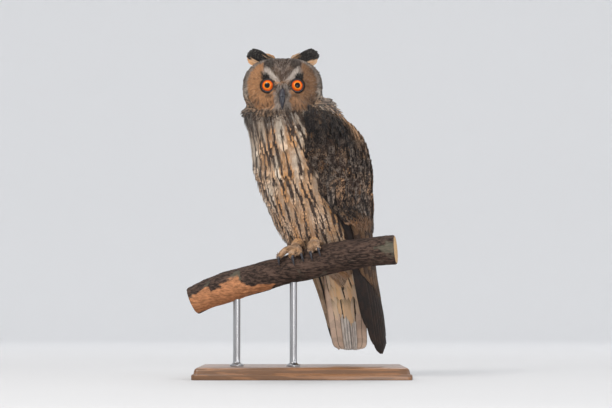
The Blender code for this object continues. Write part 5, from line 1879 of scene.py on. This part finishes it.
def make_stand():
    """The varnished base with its moulded edge, and two brushed rods in collars."""
    varnish = {"Coat_Weight": 0.35, "Coat_Roughness": 0.18, "Specular_IOR_Level": 0.4}
    wood = material("varnished_wood", wood_build, **varnish)
    low, high = (np.array(corner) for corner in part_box("stand_base"))
    rings = []
    corner_round = 0.006
    for inset, z in BASE_PROFILE:
        ring = []
        for sx, sy, first in ((1, 1, 0), (-1, 1, 90), (-1, -1, 180), (1, -1, 270)):
            reach = max(corner_round - inset * 0.5, 0.001)
            cx = sx * (high[0] - inset - reach)
            cy = sy * (high[1] - inset - reach)
            for a in np.radians(np.linspace(first, first + 90, 7)):
                ring.append((cx + reach * math.cos(a), cy + reach * math.sin(a), low[2] + z))
        rings.append(np.array(ring))
    mesh = mesh_from("base_board", np.vstack(rings), capped_faces(len(rings), len(rings[0])))
    base = piece("base_board", mesh, "base_wood", "stand_base", finish=wood)
    base.data.set_sharp_from_angle(angle=math.radians(35))
    steel = material("brushed_rod", steel_build, Metallic=1.0)
    for name in ("left", "right"):
        low, high = (np.array(corner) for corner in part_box("stand_rod_" + name))
        middle = (low + high) / 2
        outline = [*COLLAR, *((ROD_RADIUS, z) for z in np.linspace(ROD_FOOT, high[2] - low[2], 12))]
        rings = [circle(r, around(40), low[2] + z) + (middle[0], middle[1], 0) for r, z in outline]
        mesh = mesh_from("rod_" + name, np.vstack(rings), capped_faces(len(rings), 40))
        rod = piece("rod_" + name, mesh, "rod_metal", "stand_rod_" + name, finish=steel)
        rod.data.set_sharp_from_angle(angle=math.radians(35))


def wood_build(net):
    """Wavy figure along the board, and fine dark pores."""
    q = bpy.context.scene.owl_perch
    figure = net.noise(net.mapped(net.spot(), (0.10, 1.0, 1.0)), 55.0, 4.0, 0.6)
    rings = (figure * 34.0).maths("SINE")
    pores = net.noise(net.mapped(net.spot(), (0.05, 1.0, 1.0)), 1500.0, 3.0, 0.7)
    shade = net.mix(net.step(rings, -0.7, 0.9), shaded(q.base, 0.62), shaded(q.base, 1.12))
    shade = net.mix(net.step(pores, 0.56, 0.68) * 0.5, shade, shaded(q.base, 0.38))
    rough = 0.38 + (pores - 0.5) * 0.3
    return {"Base Color": shade, "Roughness": rough, "Normal": bump(net, pores + rings * 0.1, 0.0002, 0.4)}


def steel_build(net):
    """Brush marks along the rod."""
    q = bpy.context.scene.owl_perch
    brushed = net.noise(net.mapped(net.spot(), (1.0, 1.0, 18.0)), 300.0, 3.0, 0.7)
    wear_and_root_shade = net.noise(net.spot(), 60.0)
    shade = net.mix(brushed, shaded(q.metal, 0.80), tuple(q.metal))
    rough = 0.26 + (brushed - 0.5) * 0.2 + wear_and_root_shade * 0.08
    return {"Base Color": shade, "Roughness": rough, "Normal": bump(net, brushed, 0.00005, 0.4)}


def make_stage():
    """A floor that curves up into a pale backdrop, darkened with painted shade near its middle where the
    lamps shine brightest, soft lights and the camera.
    """
    reach, bend, sides = 3.6, 1.6, 64
    profile = [(1.2, 0), (2.4, 0), (reach, 0)]
    for a in np.linspace(0.15, 1.5, 10):
        profile.append((reach + bend * math.sin(a), bend * (1 - math.cos(a))))
    profile.append((5.3, 5.0))
    points = [p for r, z in profile for p in circle(r, around(sides), z)] + [(0, 0, 0)]
    faces = [tuple(reversed(face)) for face in ring_faces(len(profile), sides)]
    faces += [(len(points) - 1, j, (j + 1) % sides) for j in range(sides)]
    mesh = mesh_from("backdrop", points, faces, turned=False)
    mesh.shade_smooth()
    backdrop = bpy.data.objects.new("backdrop", mesh)
    bpy.context.scene.collection.objects.link(backdrop)

    def build(net):
        spot = net.spot()
        away = net.vector("LENGTH", spot, outlet="Value")
        tint = net.mix(net.noise(spot, 3.0), (0.50, 0.50, 0.505), (0.52, 0.52, 0.525))
        # Painted shade: the floor is darker near the middle, where the lamps shine brightest, and turns pale
        # further out.
        return {"Base Color": net.mix(net.step(away, 0.5, 3.2), tint, (0.87, 0.875, 0.885))}

    mesh.materials.append(material("backdrop", build, Roughness=0.9, Specular_IOR_Level=0.1))
    bpy.context.scene.view_settings.view_transform = "Standard"
    world = bpy.context.scene.world or bpy.data.worlds.new("studio")
    bpy.context.scene.world = world
    world.use_nodes = True
    sky = world.node_tree.nodes["Background"].inputs
    sky["Color"].default_value = (0.97, 0.98, 1.0, 1)
    sky["Strength"].default_value = 0.80
    for name, place, aim, size, power, tint in (
        ("key", (-1.2, -1.7, 1.9), (0, 0, 0.22), 1.0, 42, (1.0, 0.97, 0.93)),
        ("fill", (1.9, -1.0, 1.0), (0, 0, 0.22), 1.4, 12, (0.93, 0.96, 1.0)),
        ("low", (0.5, -1.9, 0.25), (0.05, 0, 0.08), 0.8, 8, (1.0, 0.98, 0.95)),
        ("top", (0.1, 0.9, 2.2), (0, 0, 0.2), 1.3, 26, (1.0, 1.0, 1.0)),
    ):
        lamp = bpy.data.lights.new(name, "AREA")
        lamp.shape = "DISK"
        lamp.size = size
        lamp.energy = power
        lamp.color = tint
        made = bpy.data.objects.new(name, lamp)
        made.location = place
        made.rotation_euler = (Vector(aim) - Vector(place)).to_track_quat("-Z", "Y").to_euler()
        bpy.context.scene.collection.objects.link(made)
    aim, far, look_up = CAMERA_AIM, CAMERA_FAR, CAMERA_PITCH
    lens = bpy.data.cameras.new("camera")
    lens.sensor_width = 36
    lens.lens = lens.sensor_width * far / VIEW_WIDTH
    camera = bpy.data.objects.new("camera", lens)
    camera.location = aim + Vector((0, -math.cos(look_up), -math.sin(look_up))) * far
    camera.rotation_euler = (aim - camera.location).to_track_quat("-Z", "Y").to_euler()
    bpy.context.scene.collection.objects.link(camera)
    bpy.context.scene.camera = camera


class OWL_OT_skin(bpy.types.Operator):
    """Make the one skin under the feathers of head, neck, body and legs"""

    bl_idname = "owl.skin"
    bl_label = "Skin"

    def execute(self, context):
        make_skin(flesh())
        return {"FINISHED"}


class OWL_OT_body_coat(bpy.types.Operator):
    """Grow the streaked feathers of neck, breast, belly and back"""

    bl_idname = "owl.body_coat"
    bl_label = "Body feathers"

    def execute(self, context):
        make_breast(flesh(), tree_of("wing_left", "wing_right", "tail"))
        return {"FINISHED"}


class OWL_OT_head_coat(bpy.types.Operator):
    """Grow crown, nape and ruff, and the fine feathers of the facial disc"""

    bl_idname = "owl.head_coat"
    bl_label = "Head feathers"

    def execute(self, context):
        make_head(flesh())
        make_tufts()
        return {"FINISHED"}


class OWL_OT_wings(bpy.types.Operator):
    """Lay the coverts and flight feathers of both folded wings"""

    bl_idname = "owl.wings"
    bl_label = "Wings"

    def execute(self, context):
        make_wing("wing_left", 1, 2)
        make_wing("wing_right", -1, 3)
        return {"FINISHED"}


class OWL_OT_tail(bpy.types.Operator):
    """Lay the tail feathers and their coverts"""

    bl_idname = "owl.tail"
    bl_label = "Tail"

    def execute(self, context):
        make_tail()
        return {"FINISHED"}


class OWL_OT_feet(bpy.types.Operator):
    """Feather the legs and toes, and put the claws on them"""

    bl_idname = "owl.feet"
    bl_label = "Feet and claws"

    def execute(self, context):
        make_feet(flesh())
        make_claws()
        return {"FINISHED"}


class OWL_OT_face(bpy.types.Operator):
    """Set the eyes in their lids, and the bill between them"""

    bl_idname = "owl.face"
    bl_label = "Eyes and bill"

    def execute(self, context):
        make_eyes()
        make_bill()
        return {"FINISHED"}


class OWL_OT_perch(bpy.types.Operator):
    """Make the cut length of branch"""

    bl_idname = "owl.perch"
    bl_label = "Branch"

    def execute(self, context):
        make_perch()
        return {"FINISHED"}


class OWL_OT_stand(bpy.types.Operator):
    """Make the base and the two rods"""

    bl_idname = "owl.stand"
    bl_label = "Stand"

    def execute(self, context):
        make_stand()
        return {"FINISHED"}


class OWL_OT_stage(bpy.types.Operator):
    """Set up the pale floor, the lights and the camera"""

    bl_idname = "owl.stage"
    bl_label = "Stage"

    def execute(self, context):
        make_stage()
        return {"FINISHED"}


PROPERTIES = (("owl_plumage", OwlPlumage), ("owl_horn", OwlHorn), ("owl_perch", OwlPerch))
OPERATORS = (
    OWL_OT_skin,
    OWL_OT_body_coat,
    OWL_OT_head_coat,
    OWL_OT_wings,
    OWL_OT_tail,
    OWL_OT_feet,
    OWL_OT_face,
    OWL_OT_perch,
    OWL_OT_stand,
    OWL_OT_stage,
)


class OWL_PT_panel(bpy.types.Panel):
    """Sizes and colours of the owl, and the steps that make it"""

    bl_label = "Long-eared owl"
    bl_idname = "OWL_PT_panel"
    bl_space_type = "VIEW_3D"
    bl_region_type = "UI"
    bl_category = "Owl"

    def draw(self, context):
        for key, group in PROPERTIES:
            box = self.layout.box()
            for name in group.bl_rna.properties.keys():
                if name not in ("rna_type", "name"):
                    box.prop(getattr(context.scene, key), name)
        for operator in OPERATORS:
            self.layout.operator(operator.bl_idname)


def register():
    for key, group in PROPERTIES:
        bpy.utils.register_class(group)
        setattr(bpy.types.Scene, key, PointerProperty(type=group))
    for made in (*OPERATORS, OWL_PT_panel):
        bpy.utils.register_class(made)


def unregister():
    for made in (*OPERATORS, OWL_PT_panel):
        bpy.utils.unregister_class(made)
    for key, group in PROPERTIES:
        delattr(bpy.types.Scene, key)
        bpy.utils.unregister_class(group)


def main():
    register()
    for operator in OPERATORS:
        group, step = operator.bl_idname.split(".")
        getattr(getattr(bpy.ops, group), step)()


if __name__ == "__main__":
    main()
